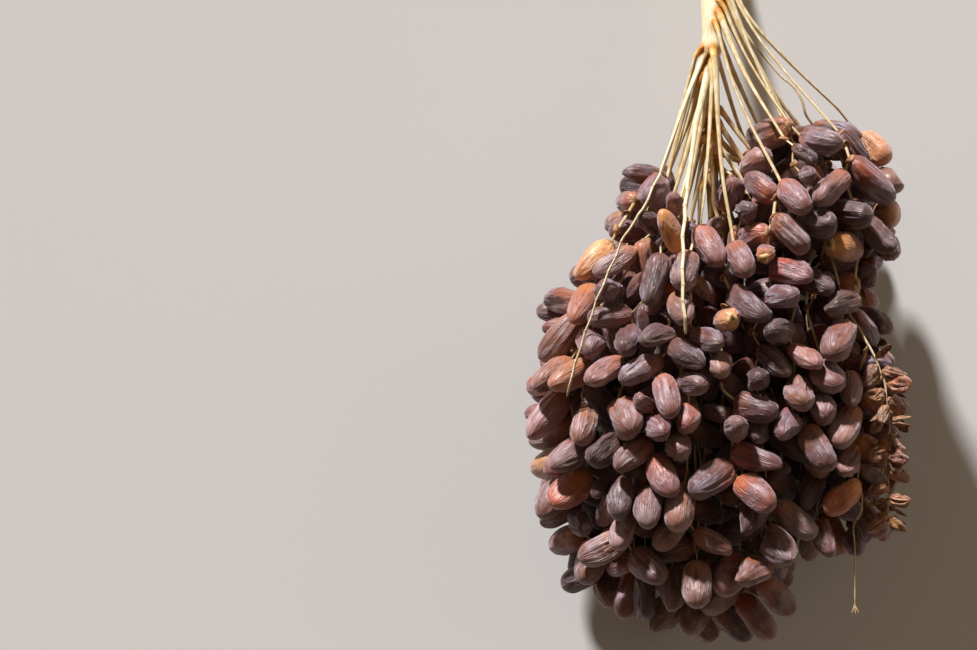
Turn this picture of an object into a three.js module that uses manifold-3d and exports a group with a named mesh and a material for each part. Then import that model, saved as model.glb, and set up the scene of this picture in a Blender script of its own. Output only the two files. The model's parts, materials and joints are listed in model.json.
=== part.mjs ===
// A fruit bunch of a date palm, cut from the palm and laid on its side, at real size in millimetres.
// +Y runs up the stalk, +X to the right across the bunch, and +Z up from the surface it lies on.
// The stalk carries bare strands that fan out, and each strand carries dates along its lower part.
// Dates are set out along the strands by a seeded rule and then pushed apart until none touch.

import * as THREE from "three";
import Module from "manifold-3d";

// The space that the dates fill: a rounded body, with a high shoulder on the right and a small one on the left.
const midHeight = 90;
const body = { x: 0, y: -300, z: midHeight, halfX: 146, halfY: 172, halfZ: 112 };
const rightShoulder = { x: 78, y: -134, z: midHeight, halfX: 70, halfY: 78, halfZ: 84 };
const leftShoulder = { x: -36, y: -168, z: midHeight, halfX: 44, halfY: 78, halfZ: 74 };
const spaces = [body, rightShoulder, leftShoulder];

// The gap between the two shoulders, where the stalk and the bare strands come in.
const throat = { x: -12, bottomY: -125, radius: 14 };

// The stalk: its outline as [y, half width, half thickness] from its tip up to the cut.
const stalkOutline = [
  [-135, 2.6, 2.6],
  [-100, 4.2, 3.8],
  [-60, 5.0, 4.6],
  [-20, 5.6, 5.2],
  [-6, 6.4, 5.8],
  [2, 8.6, 7.6],
  [12, 7.6, 6.8],
  [38, 7.8, 6.8],
  [48, 8.8, 7.8],
  [62, 9.4, 8.2],
  [76, 8.6, 7.6],
  [120, 10.5, 8.4],
  [165, 12.6, 9.2],
];
const stalkTop = stalkOutline[stalkOutline.length - 1][0];
const stalkSides = 16;
const stalkStep = 18;
const stalkBend = { fromY: -30, drop: 83.1 };

// Three rings of strands, from the outside in. rows is how many levels of the stalk a ring leaves from,
// and every second strand of a ring ends at the first of endY and the others at the second.
const rings = [
  { name: "outer", count: 23, reach: [0.66, 0.84], leaveY: 0, rows: 5, rowStep: 9.5, endY: [-425, -345] },
  { name: "middle", count: 12, reach: [0.42, 0.56], leaveY: -47, rows: 4, rowStep: 10, endY: [-438, -412] },
  { name: "core", count: 5, reach: [0.16, 0.3], leaveY: -90, rows: 5, rowStep: 8, endY: [-452, -442] },
];
const endSpread = 16;
const angleSpread = 0.3;
const right = { cosine: 0.15, lift: 57 }; // strands on the right shoulder, and how much higher they leave
const farRight = { cosine: 0.5, rise: 45 }; // strands on the far right, and how much higher they end
const widestY = { left: -235, right: -120 }; // where a strand has fanned out in full

// Two strands stand apart from the rings. Below hangY each one hangs straight down the bunch: the first
// carries a row of small shrivelled fruit there, and the second is bare.
const loneStrands = [
  { name: "shrivelled_strand", angle: 0.14, reach: 0.97, leaveY: 72, hangY: -258, endY: -386, fruit: true },
  { name: "bare_tipped_strand", angle: 0.64, reach: 0.94, leaveY: 66, hangY: -345, endY: -444, fruit: false },
];
const shrivelled = { length: 12.5, radius: 4.1, sides: 4 };

const strandRadius = { root: 2.6, knee: 2.1, first: 1.7, last: 1.05 };
const rootSpan = 2.8; // half the length of stalk that one root takes up
const rootGap = 0.3;
const knee = { out: 5, down: 6 };
const nodeStep = 12.5;
const zigzag = 1.6;
const lowest = 15; // how near the surface a strand starts
const mostStray = 1.9; // how far a strand's solid may cut its bends

// A date: it sits by its blunt end on the strand and leans off the strand's run, by the first of leanDeg
// at the strand's root and by the second at its end. outward turns it away from the middle of the bunch.
const date = { length: 40, radius: 10.8, spread: 0.12, leanDeg: [78, 50], turnDeg: 144, outward: 0.6 };
const smallDate = { share: 0.07, scale: 0.62 }; // some dates dry up half grown
const core = [0.27, 0.73]; // the stretch of a date's length that has its full girth
const dateSides = 5;
const dateSink = 0.4;
const dateDepth = 50; // dates further than this inside the bunch don't show and are left out
const outsideBy = 4; // how far outside the rounded space a strand may still carry dates
const mostSolidDates = 290;

// How the dates are pushed apart.
const settle = { rounds: 120, listEvery: 10, slack: 6, gap: 0.9, ease: 1.4, bend: 0.97, lean: 0.84, step: 4 };
const stray = [-5, 9]; // how far each date may stand inside or outside the bunch's rounded space
const thinning = [6, 3, 1, 0.05]; // the overlap above which a date is dropped, after each run of rounds
const keepGap = 0.35;

const seed = 20260;

function makeRandom(start) {
  let state = start;
  return () => {
    state = (state * 1664525 + 1013904223) % 4294967296;
    return state / 4294967296;
  };
}

// Starting places are kept to a millionth, so that they don't depend on how a sine is worked out.
const tidy = (value) => Math.floor(value * 1e6 + 0.5) / 1e6;
const mix = (a, b, t) => a + (b - a) * t;
const clamp = (value, low, high) => Math.min(Math.max(value, low), high);
const smooth = (t) => t * t * (3 - 2 * t);

const axes = [0, 1, 2];
const add = (a, b, times = 1) => axes.map((n) => a[n] + b[n] * times);
const subtract = (a, b) => axes.map((n) => a[n] - b[n]);
const dot = (a, b) => a[0] * b[0] + a[1] * b[1] + a[2] * b[2];
const cross = (a, b) => [a[1] * b[2] - a[2] * b[1], a[2] * b[0] - a[0] * b[2], a[0] * b[1] - a[1] * b[0]];
const size = (a) => Math.sqrt(dot(a, a));
const unit = (a) => a.map((v) => v / size(a));

// Value of the stalk's outline at y, between its two nearest rows.
function outlineAt(y, column) {
  const last = stalkOutline.length - 1;
  if (y <= stalkOutline[0][0]) return stalkOutline[0][column];
  if (y >= stalkOutline[last][0]) return stalkOutline[last][column];
  const row = stalkOutline.findIndex((r) => r[0] > y);
  const [low, high] = [stalkOutline[row - 1], stalkOutline[row]];
  return mix(low[column], high[column], (y - low[0]) / (high[0] - low[0]));
}

// The stalk runs straight through the bunch and then arches down to the surface.
function stalkHeight(y) {
  const t = Math.max(0, (y - stalkBend.fromY) / (stalkTop - stalkBend.fromY));
  return midHeight - stalkBend.drop * t * t;
}

// The direction square to the stalk at y, in the upright plane.
function stalkUp(y) {
  const span = stalkTop - stalkBend.fromY;
  const slope = (-2 * stalkBend.drop * Math.max(0, y - stalkBend.fromY)) / (span * span);
  return unit([0, -slope, 1]);
}

// The way out of the stalk at y, for a strand that leaves at an angle round it.
function wayOut(angle, y) {
  const up = stalkUp(y);
  return [Math.cos(angle), up[1] * Math.sin(angle), up[2] * Math.sin(angle)];
}

// How far the space for dates reaches from the stalk's line at y, sideways and up.
function reachAt(y, onRight) {
  const along = Math.sqrt(Math.max(0, 1 - ((y - body.y) / body.halfY) ** 2));
  const alongShoulder = 1 - ((y - rightShoulder.y) / rightShoulder.halfY) ** 2;
  if (!onRight || alongShoulder <= 0) return [body.halfX * along, body.halfZ * along];
  const share = Math.sqrt(alongShoulder);
  const wide = Math.max(body.halfX * along, rightShoulder.x + rightShoulder.halfX * share);
  return [wide, Math.max(body.halfZ * along, rightShoulder.halfZ * share)];
}

// How deep a point lies inside the space for dates, along the line to the middle of each rounded space.
function depthIn(space, p) {
  const [x, y, z] = [p[0] - space.x, p[1] - space.y, p[2] - space.z];
  const share = size([x / space.halfX, y / space.halfY, z / space.halfZ]);
  return size([x, y, z]) * (1 / Math.max(share, 0.05) - 1);
}
const depthOf = (p) => Math.min(Math.max(...spaces.map((space) => depthIn(space, p))), p[2]);

// The line of one strand from its root on the stalk: a knee, a fan outwards, and a run down the bunch.
function strandLine({ angle, reach, leaveY, hangY, endY }) {
  const [c, s] = [Math.cos(angle), Math.sin(angle)];
  const onRight = c > right.cosine;
  const fannedY = onRight ? widestY.right : widestY.left;
  const rootLevels = [leaveY - rootSpan, leaveY, leaveY + rootSpan];
  const widest = (column) => Math.max(...rootLevels.map((y) => outlineAt(y, column)));
  const rootOut = size([widest(1) * c, widest(2) * s, 0]) + rootGap;
  const out = wayOut(angle, leaveY);
  const root = add([0, leaveY, stalkHeight(leaveY)], out, rootOut);
  const bend = add(add(root, out, knee.out), [0, -knee.down, 0]);
  const points = [root, bend];
  const kneeOut = rootOut + knee.out;
  let before = bend;
  let run = 0;
  for (let y = bend[1] - 1; y > endY; y -= 1) {
    const t = smooth(clamp((bend[1] - y) / (bend[1] - fannedY), 0, 1));
    const [wide, deep] = reachAt(clamp(y, hangY, fannedY), onRight);
    const x = c * mix(kneeOut, reach * wide, t);
    const z = mix(stalkHeight(y), midHeight, t) + s * mix(kneeOut, reach * deep, t);
    const here = [x, y, Math.max(z, lowest)];
    run += size(subtract(here, before));
    before = here;
    if (run >= nodeStep) {
      run -= nodeStep;
      points.push(here);
    }
  }
  return points;
}

function setOutStrands(random) {
  const strands = [];
  for (const { name, count, reach, leaveY, rows, rowStep, endY } of rings) {
    for (let i = 0; i < count; i += 1) {
      const angle = ((i + 0.5 + angleSpread * (random() - 0.5)) / count) * 2 * Math.PI;
      const lift = name === "outer" && Math.cos(angle) > right.cosine ? right.lift : 0;
      const rise = Math.cos(angle) > farRight.cosine ? farRight.rise : 0;
      strands.push({
        name: `${name}_strand_${String(i + 1).padStart(2, "0")}`,
        angle,
        reach: mix(...reach, random()),
        leaveY: leaveY + lift - (i % rows) * rowStep + 2 * (random() - 0.5),
        hangY: -Infinity,
        endY: endY[i % 2] + rise + endSpread * (random() - 0.5),
        fruit: false,
      });
    }
  }
  return [...strands, ...loneStrands];
}

// Sets a strand's line and its dates at their starting places. Each date runs from a node to its tip.
function setOutDates(strand, random) {
  const line = strandLine(strand);
  const dates = [];
  const startTurn = random() * 2 * Math.PI;
  for (let k = 2; k < line.length; k += 1) {
    const run = unit(subtract(line[Math.min(k + 1, line.length - 1)], line[k - 1]));
    const sideways = unit(cross(run, [0, 0, 1]));
    const across = cross(sideways, run);
    const turn = startTurn + (k * date.turnDeg * Math.PI) / 180 + 0.5 * (random() - 0.5);
    const lean = ((mix(...date.leanDeg, k / (line.length - 1)) + 16 * (random() - 0.5)) * Math.PI) / 180;
    const small = random() < smallDate.share;
    const scale = (small ? smallDate.scale : 1) * (1 + date.spread * 2 * (random() - 0.5));
    const girth = 1 + date.spread * 1.4 * (random() - 0.5);
    const off = tidy(mix(...stray, random()));
    const outward = unit([line[k][0], 0, line[k][2] - midHeight]);
    const round = add(sideways.map((v) => v * Math.cos(turn)), across, Math.sin(turn));
    const place = (side, kind) => {
      const aim = add(run.map((v) => v * Math.cos(lean)), side, Math.sin(lean));
      const length = tidy(kind.length * scale);
      const tip = add(line[k], aim, length).map(tidy);
      dates.push({ node: k, tip, length, radius: tidy(kind.radius * scale * girth), off, kind });
    };
    if (line[k][1] < strand.hangY) {
      const sides = strand.fruit ? [round, round.map((v) => -v)] : [];
      sides.forEach((side) => place(side, shrivelled));
      continue;
    }
    const depth = depthOf(line[k]);
    const inThroat = Math.abs(line[k][0] - throat.x) < throat.radius && line[k][1] > throat.bottomY;
    if (depth < -outsideBy || depth > dateDepth || inThroat) continue;
    place(unit(add(round, outward, date.outward)), date);
  }
  for (const { node, tip } of dates) {
    line[node] = add(line[node], unit(subtract(tip, line[node])), zigzag);
  }
  return { ...strand, line: line.map((p) => p.map(tidy)), dates };
}

// Lays the strands, dates and stalk out as points joined by rods, which is what gets pushed apart.
// A rod has its full girth from one share of its length to another.
function asRods(strands) {
  const points = [];
  const loose = [];
  const rods = [];
  const addPoint = (p, free) => {
    points.push(...p);
    loose.push(free ? 1 : 0);
    return loose.length - 1;
  };
  strands.forEach((strand, s) => {
    const ids = strand.line.map((p, k) => addPoint(p, k > 1));
    strand.ids = ids;
    for (let k = 1; k < ids.length; k += 1) {
      const radius = k === 1 ? strandRadius.root : strandRadius.first;
      rods.push({ kind: "strand", a: ids[k - 1], b: ids[k], from: 0, to: 1, radius, strand: s, node: k });
    }
    for (const { node, tip, radius, length, off, kind } of strand.dates) {
      const ends = { a: ids[node], b: addPoint(tip, true), from: core[0], to: core[1] };
      rods.push({ kind: "date", ...ends, radius, strand: s, node, length, off, small: kind === shrivelled });
    }
  });
  let last = null;
  for (const [y, wide] of stalkOutline.slice(0, -2)) {
    const id = addPoint([0, y, tidy(stalkHeight(y))], false);
    const ends = { a: last, b: id, from: 0, to: 1 };
    if (last !== null) rods.push({ kind: "stalk", ...ends, radius: wide, strand: -1, node: 0 });
    last = id;
  }
  return { points: Float64Array.from(points), loose, rods };
}

// Distances to keep: along each strand and date, over each bend, and from each date's tip to the strand.
function asLinks(points, strands, rods) {
  const length = (a, b) => size(axes.map((n) => points[a * 3 + n] - points[b * 3 + n]));
  const links = rods
    .filter((rod) => rod.kind !== "stalk")
    .map(({ a, b }) => ({ a, b, rest: tidy(length(a, b)), atLeast: false }));
  for (const { ids } of strands) {
    for (let k = 2; k < ids.length; k += 1) {
      const [a, b] = [ids[k - 2], ids[k]];
      links.push({ a, b, rest: tidy(length(a, b) * settle.bend), atLeast: true });
    }
  }
  for (const { kind, a, b, node, strand, length: long } of rods) {
    if (kind !== "date" || node + 1 >= strands[strand].ids.length) continue;
    links.push({ a: b, b: a + 1, rest: tidy(long * settle.lean), atLeast: true });
  }
  return links;
}

// Two rods that are allowed to touch: neighbours on one strand, and a strand's root and the stalk.
function mayTouch(p, q) {
  if (p.kind === "stalk" || q.kind === "stalk") return p.kind === q.kind || Math.max(p.node, q.node) < 3;
  if (p.strand !== q.strand) return false;
  if (p.kind === q.kind) return p.kind === "strand";
  return Math.abs(p.node - q.node) < 3;
}

// The nearest points of two rods, as shares of each rod's full-girth stretch, and how far apart they are.
function nearest(points, p, q) {
  const at = (rod, share, n) => points[rod.a * 3 + n] * (1 - share) + points[rod.b * 3 + n] * share;
  const ends = axes.map((n) => [at(p, p.from, n), at(p, p.to, n), at(q, q.from, n), at(q, q.to, n)]);
  const alongP = ends.map((e) => e[1] - e[0]);
  const alongQ = ends.map((e) => e[3] - e[2]);
  const between = ends.map((e) => e[0] - e[2]);
  const a = dot(alongP, alongP);
  const e = dot(alongQ, alongQ);
  const f = dot(alongQ, between);
  const c = dot(alongP, between);
  const b = dot(alongP, alongQ);
  const det = a * e - b * b;
  let s = det > 1e-9 * a * e ? clamp((b * f - c * e) / det, 0, 1) : 0.5;
  let t = (b * s + f) / e;
  if (t < 0) {
    t = 0;
    s = clamp(-c / a, 0, 1);
  } else if (t > 1) {
    t = 1;
    s = clamp((b - c) / a, 0, 1);
  }
  const apart = axes.map((n) => between[n] + alongP[n] * s - alongQ[n] * t);
  return { s, t, apart, distance: size(apart) };
}

// How far two rods are short of the gap asked for between them.
const lackOf = (p, q, gap, distance) => p.radius + q.radius + gap - distance;

// Pairs of rods near enough to meet before the next list is made.
function listPairs(points, rods) {
  const mid = rods.map((r) => axes.map((n) => (points[r.a * 3 + n] + points[r.b * 3 + n]) * 0.5));
  const lengths = rods.map((r) => size(axes.map((n) => points[r.b * 3 + n] - points[r.a * 3 + n])));
  const half = rods.map((r, i) => lengths[i] * 0.5 + r.radius);
  const pairs = [];
  for (let i = 0; i < rods.length; i += 1) {
    for (let j = i + 1; j < rods.length; j += 1) {
      const d = subtract(mid[i], mid[j]);
      const reach = half[i] + half[j] + settle.slack;
      if (dot(d, d) >= reach * reach || mayTouch(rods[i], rods[j])) continue;
      const { distance } = nearest(points, rods[i], rods[j]);
      if (lackOf(rods[i], rods[j], settle.slack, distance) > 0) pairs.push([i, j]);
    }
  }
  return pairs;
}

// How far, and which way, a ball at p has to move to lie inside one rounded space.
function outOf(space, p, radius) {
  const half = [space.halfX - radius, space.halfY - radius, space.halfZ - radius];
  const d = [p[0] - space.x, p[1] - space.y, p[2] - space.z];
  const share = d.map((v, n) => Math.abs(v) / half[n]);
  const root = share.map((v) => v * Math.sqrt(v));
  const slope = root.map((v, n) => (d[n] < 0 ? -2.5 : 2.5) * (v / half[n]));
  const steep = Math.max(size(slope), 1e-9);
  return { step: (dot(share, root) - 1) / steep, way: slope.map((v) => v / steep) };
}

// Moves both ends of every link by half of what it lacks or has too much.
function pullLinks(points, loose, links, give) {
  for (const end of ["a", "b"]) {
    for (const link of links) {
      const d = axes.map((n) => points[link.b * 3 + n] - points[link.a * 3 + n]);
      const length = size(d);
      if (link.atLeast && length >= link.rest) continue;
      const share = (length - link.rest) / (length * Math.max(loose[link.a] + loose[link.b], 1));
      give(link[end], d, end === "a" ? share : -share);
    }
  }
}

// Pushes apart the rods that are too near each other, each end by its share of the nearest point.
function pushPairs(points, loose, rods, pairs, give) {
  const pushes = [];
  for (const [i, j] of pairs) {
    const [p, q] = [rods[i], rods[j]];
    const { s, t, apart, distance } = nearest(points, p, q);
    const lack = lackOf(p, q, settle.gap, distance);
    if (lack <= 0 || distance < 1e-6) continue;
    const sp = p.from + (p.to - p.from) * s;
    const sq = q.from + (q.to - q.from) * t;
    const shares = [1 - sp, sp, 1 - sq, sq];
    const ids = [p.a, p.b, q.a, q.b];
    const weights = shares.map((share, n) => share * loose[ids[n]]);
    const total = weights.reduce((sum, weight, n) => sum + weight * shares[n], 0);
    if (total < 1e-9) continue;
    pushes.push({ ids, weights, apart, push: lack / (distance * total) });
  }
  for (let end = 0; end < 4; end += 1) {
    for (const { ids, weights, apart, push } of pushes) {
      give(ids[end], apart, (end < 2 ? push : -push) * weights[end]);
    }
  }
}

// Moves a date towards its rounded space, up off the surface, and out of the throat.
function keepPlace(points, loose, rod) {
  for (const share of core) {
    const p = axes.map((n) => points[rod.a * 3 + n] * (1 - share) + points[rod.b * 3 + n] * share);
    const outs = spaces.map((space) => outOf(space, p, rod.radius - rod.off));
    const out = outs.reduce((best, other) => (other.step < best.step ? other : best));
    const step = clamp(out.step, 0, settle.step) * 0.5;
    const push = out.way.map((v) => -v * step);
    push[2] += Math.max(rod.radius - p[2], 0);
    const beside = p[0] - throat.x;
    const below = Math.max(0, throat.bottomY - p[1]);
    const apart = Math.sqrt(beside * beside + below * below);
    const lack = throat.radius + rod.radius - apart;
    if (lack > 0 && apart > 1e-6) {
      push[0] += (beside / apart) * lack * 0.5;
      push[1] -= (below / apart) * lack * 0.5;
    }
    const total = (1 - share) * (1 - share) * loose[rod.a] + share * share;
    for (const n of axes) {
      points[rod.a * 3 + n] += (push[n] * (1 - share) * loose[rod.a]) / total;
      points[rod.b * 3 + n] += (push[n] * share) / total;
    }
  }
}

function relax(points, loose, rods, links, pairs) {
  const moved = new Float64Array(points.length);
  const times = new Float64Array(loose.length);
  const give = (id, way, amount) => {
    for (const n of axes) moved[id * 3 + n] += way[n] * amount;
    times[id] += 1;
  };
  pullLinks(points, loose, links, give);
  pushPairs(points, loose, rods, pairs, give);
  for (let id = 0; id < loose.length; id += 1) {
    if (!loose[id] || !times[id]) continue;
    const share = settle.ease / times[id];
    for (const n of axes) points[id * 3 + n] += moved[id * 3 + n] * share;
  }
  for (const rod of rods) {
    if (rod.kind === "date") keepPlace(points, loose, rod);
  }
}

// Finds the dates that still overlap by more than the limit, the worst first.
function findCrowded(points, rods, limit) {
  const isDate = rods.map(({ kind }) => kind === "date");
  const lacks = listPairs(points, rods)
    .map(([i, j]) => [i, j, lackOf(rods[i], rods[j], keepGap, nearest(points, rods[i], rods[j]).distance)])
    .filter(([i, j, lack]) => lack > 0 && (isDate[i] || isDate[j]));
  const crowded = new Set();
  for (;;) {
    const left = lacks.filter(([i, j]) => !crowded.has(i) && !crowded.has(j));
    if (left.every(([, , lack]) => lack <= limit)) return crowded;
    const sums = new Float64Array(rods.length);
    for (const [i, j, lack] of left) {
      if (isDate[i]) sums[i] += lack;
      if (isDate[j]) sums[j] += lack;
    }
    crowded.add(sums.indexOf(Math.max(...sums)));
  }
}

function settleAll(strands) {
  const { points, loose, rods: allRods } = asRods(strands);
  let rods = allRods;
  let links = asLinks(points, strands, rods);
  for (const limit of thinning) {
    let pairs = [];
    for (let round = 0; round < settle.rounds; round += 1) {
      if (round % settle.listEvery === 0) pairs = listPairs(points, rods);
      relax(points, loose, rods, links, pairs);
    }
    const crowded = findCrowded(points, rods, limit);
    const tips = new Set([...crowded].map((i) => rods[i].b));
    rods = rods.filter((rod, i) => !crowded.has(i));
    links = links.filter(({ a, b }) => !tips.has(a) && !tips.has(b));
  }
  return { points, rods };
}

// A closed solid through rings of points, closed to a point or to a flat face at each end.
function loft(ringPoints, startPoint, endPoint) {
  const sides = ringPoints[0].length;
  const positions = ringPoints.flat(2);
  const index = [];
  const at = (ring, side) => ring * sides + (side % sides);
  for (let ring = 0; ring + 1 < ringPoints.length; ring += 1) {
    for (let side = 0; side < sides; side += 1) {
      index.push(at(ring, side), at(ring, side + 1), at(ring + 1, side + 1));
      index.push(at(ring, side), at(ring + 1, side + 1), at(ring + 1, side));
    }
  }
  const close = (ring, point, atStart) => {
    const middle = positions.length / 3;
    positions.push(...(point ?? ringPoints[ring].reduce((sum, p) => add(sum, p, 1 / sides), [0, 0, 0])));
    for (let side = 0; side < sides; side += 1) {
      const edge = [at(ring, side), at(ring, side + 1)];
      index.push(middle, ...(atStart ? edge.reverse() : edge));
    }
  };
  close(0, startPoint, true);
  close(ringPoints.length - 1, endPoint, false);
  const geometry = new THREE.BufferGeometry();
  geometry.setAttribute("position", new THREE.Float32BufferAttribute(positions, 3));
  geometry.setIndex(index);
  return geometry;
}

// A ring of points round a middle, on two directions square to the run.
function ringAt(middle, u, v, radiusU, radiusV, sides) {
  return Array.from({ length: sides }, (_, side) => {
    const angle = (side / sides) * 2 * Math.PI;
    return add(add(middle, u, radiusU * Math.cos(angle)), v, radiusV * Math.sin(angle));
  });
}

function stalkGeometry() {
  const levels = stalkOutline.map(([y]) => y);
  for (let y = stalkOutline[0][0] + stalkStep; y < stalkTop; y += stalkStep) {
    if (levels.every((level) => Math.abs(level - y) > stalkStep / 2)) levels.push(y);
  }
  levels.sort((a, b) => a - b);
  const ringPoints = levels.map((y) => {
    return ringAt([0, y, stalkHeight(y)], stalkUp(y), [1, 0, 0], outlineAt(y, 2), outlineAt(y, 1), stalkSides);
  });
  return loft(ringPoints);
}

// A thin tapered tube along a line of points, three-sided, with its root flat on the stalk's side.
function strandGeometry(line, radii, out) {
  let u = cross(out, [1, 0, 0.01]);
  const ringPoints = line.map((p, k) => {
    const run = k === 0 ? out : unit(subtract(line[Math.min(k + 1, line.length - 1)], line[k - 1]));
    u = unit(add(u, run, -dot(u, run)));
    return ringAt(p, u, cross(run, u), radii[k], radii[k], 3);
  });
  return loft(ringPoints);
}

function dateGeometry(seat, tip, radius, sides) {
  const run = unit(subtract(tip, seat));
  const u = unit(cross(run, [0.36, 0.48, 0.8]));
  const ringPoints = core.map((share) => {
    return ringAt(add(seat, subtract(tip, seat), share), u, cross(run, u), radius, radius, sides);
  });
  return loft(ringPoints, add(seat, run, -dateSink), tip);
}

const wasm = await Module();
wasm.setup();

function solidOf(geometry) {
  const vertProperties = geometry.attributes.position.array;
  const triVerts = new Uint32Array(geometry.index.array);
  return new wasm.Manifold(new wasm.Mesh({ numProp: 3, vertProperties, triVerts }));
}

function geometryOf(solid) {
  const { vertProperties, triVerts } = solid.getMesh();
  const geometry = new THREE.BufferGeometry();
  geometry.setAttribute("position", new THREE.Float32BufferAttribute(vertProperties, 3));
  geometry.setIndex(new THREE.BufferAttribute(triVerts, 1));
  geometry.computeVertexNormals();
  return geometry;
}

// The nodes that a strand's solid keeps: its root, its dates' seats, and what its bends need.
function nodesToKeep(line, seats) {
  const keep = [0, 1];
  for (let k = 2; k < line.length; k += 1) {
    const last = keep[keep.length - 1];
    const chord = unit(subtract(line[Math.min(k + 1, line.length - 1)], line[last]));
    const bends = line.slice(last + 1, k + 1).some((p) => {
      const d = subtract(p, line[last]);
      return size(add(d, chord, -dot(d, chord))) > mostStray;
    });
    if (seats.has(k) || bends || k === line.length - 1) keep.push(k);
  }
  return keep;
}

// One strand as a solid, with the dates given fused on.
function strandSolid(strand, line, ownDates) {
  const keep = nodesToKeep(line, new Set(ownDates.map(({ node }) => node)));
  const radii = keep.map((k) => {
    if (k < 2) return k === 0 ? strandRadius.root : strandRadius.knee;
    return mix(strandRadius.first, strandRadius.last, k / (line.length - 1));
  });
  const out = wayOut(strand.angle, strand.leaveY);
  let solid = solidOf(strandGeometry(keep.map((k) => line[k]), radii, out));
  for (const { seat, tip, radius, small } of ownDates) {
    solid = solid.add(solidOf(dateGeometry(seat, tip, radius, small ? shrivelled.sides : dateSides)));
  }
  return solid;
}

const random = makeRandom(seed);
const strands = setOutStrands(random).map((strand) => setOutDates(strand, random));
const { points, rods } = settleAll(strands);
const pointAt = (id) => axes.map((n) => points[id * 3 + n]);

// The shrivelled fruit and the dates nearest the outside are made as solids, and the rest don't show.
const settled = rods
  .filter((rod) => rod.kind === "date")
  .map((rod) => ({ ...rod, seat: pointAt(rod.a), tip: pointAt(rod.b) }))
  .map((rod) => ({ ...rod, middle: add(rod.seat, subtract(rod.tip, rod.seat), 0.5) }))
  .map((rod) => ({ ...rod, depth: rod.small ? 0 : depthOf(rod.middle) }))
  .sort((p, q) => p.depth - q.depth);
const solidDates = settled.slice(0, mostSolidDates);

const straw = new THREE.MeshStandardMaterial({ color: "#e3cf9c", roughness: 0.6, metalness: 0 });
const dateSkin = new THREE.MeshStandardMaterial({ color: "#7a4a3c", roughness: 0.45, metalness: 0 });
const bunch = new THREE.Group();

function addMesh(name, geometry, material) {
  const mesh = new THREE.Mesh(geometry, material);
  mesh.name = name;
  bunch.add(mesh);
}

addMesh("stalk", stalkGeometry(), straw);
strands.forEach((strand, s) => {
  const ownDates = solidDates.filter((rod) => rod.strand === s);
  addMesh(strand.name, geometryOf(strandSolid(strand, strand.ids.map(pointAt), ownDates)), dateSkin);
});

// The origin is under the middle of the bunch, on the surface that it lies on.
const box = new THREE.Box3().setFromObject(bunch);
bunch.position.set(-(box.min.x + box.max.x) / 2, -(box.min.y + box.max.y) / 2, -box.min.z);

const cutBunch = new THREE.Group();
cutBunch.add(bunch);
export default cutBunch;
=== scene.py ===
# The looks of a cut date fruit bunch: a straw-coloured stalk, bare strands that fan out from it,
# and some five hundred wrinkled dates, all grown again by the rule that the solids were made with.

import json
import math
from collections import defaultdict
from functools import partial

import bpy
import numpy as np
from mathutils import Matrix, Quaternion, Vector
from mathutils.bvhtree import BVHTree

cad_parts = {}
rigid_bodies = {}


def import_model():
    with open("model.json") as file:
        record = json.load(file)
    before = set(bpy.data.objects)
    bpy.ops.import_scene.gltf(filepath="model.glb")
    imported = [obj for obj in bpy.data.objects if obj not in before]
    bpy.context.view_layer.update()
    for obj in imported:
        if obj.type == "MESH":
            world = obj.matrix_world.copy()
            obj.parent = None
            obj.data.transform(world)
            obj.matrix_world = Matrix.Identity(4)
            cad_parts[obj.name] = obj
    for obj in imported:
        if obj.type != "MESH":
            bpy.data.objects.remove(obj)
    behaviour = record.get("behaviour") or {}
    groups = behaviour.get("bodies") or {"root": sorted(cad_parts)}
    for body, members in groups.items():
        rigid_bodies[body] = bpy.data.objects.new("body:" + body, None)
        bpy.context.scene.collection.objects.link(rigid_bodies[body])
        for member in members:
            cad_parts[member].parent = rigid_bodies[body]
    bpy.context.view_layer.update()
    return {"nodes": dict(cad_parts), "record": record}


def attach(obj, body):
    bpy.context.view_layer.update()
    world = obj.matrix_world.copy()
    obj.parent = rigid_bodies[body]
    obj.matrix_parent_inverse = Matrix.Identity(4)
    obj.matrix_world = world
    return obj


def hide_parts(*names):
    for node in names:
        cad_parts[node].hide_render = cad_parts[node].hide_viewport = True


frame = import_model()
print("loaded the frame:", len(frame["nodes"]), "nodes")

# The growth rule, in millimetres, with the stalk's line at x = 0 and the first knot of strands at y = 0.

midHeight = 90
spaces = [  # the rounded spaces that the dates fill: the body, the right shoulder and the left one
    {"middle": (0, -300, midHeight), "half": (146, 172, 112)},
    {"middle": (78, -134, midHeight), "half": (70, 78, 84)},
    {"middle": (-36, -168, midHeight), "half": (44, 78, 74)},
]
bodySpace, shoulderSpace = spaces[0], spaces[1]
throat = {"x": -12, "bottomY": -125, "radius": 14}  # the gap where the stalk and bare strands come in

stalkShape = {
    "outline": [  # y, half width, half thickness
        (-135, 2.6, 2.6), (-100, 4.2, 3.8), (-60, 5.0, 4.6), (-20, 5.6, 5.2), (-6, 6.4, 5.8),
        (2, 8.6, 7.6), (12, 7.6, 6.8), (38, 7.8, 6.8), (48, 8.8, 7.8), (62, 9.4, 8.2),
        (76, 8.6, 7.6), (120, 10.5, 8.4), (165, 12.6, 9.2),
    ],
    "bendFromY": -30,
    "bendDrop": 83.1,
}
stalkTop = stalkShape["outline"][-1][0]

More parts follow.
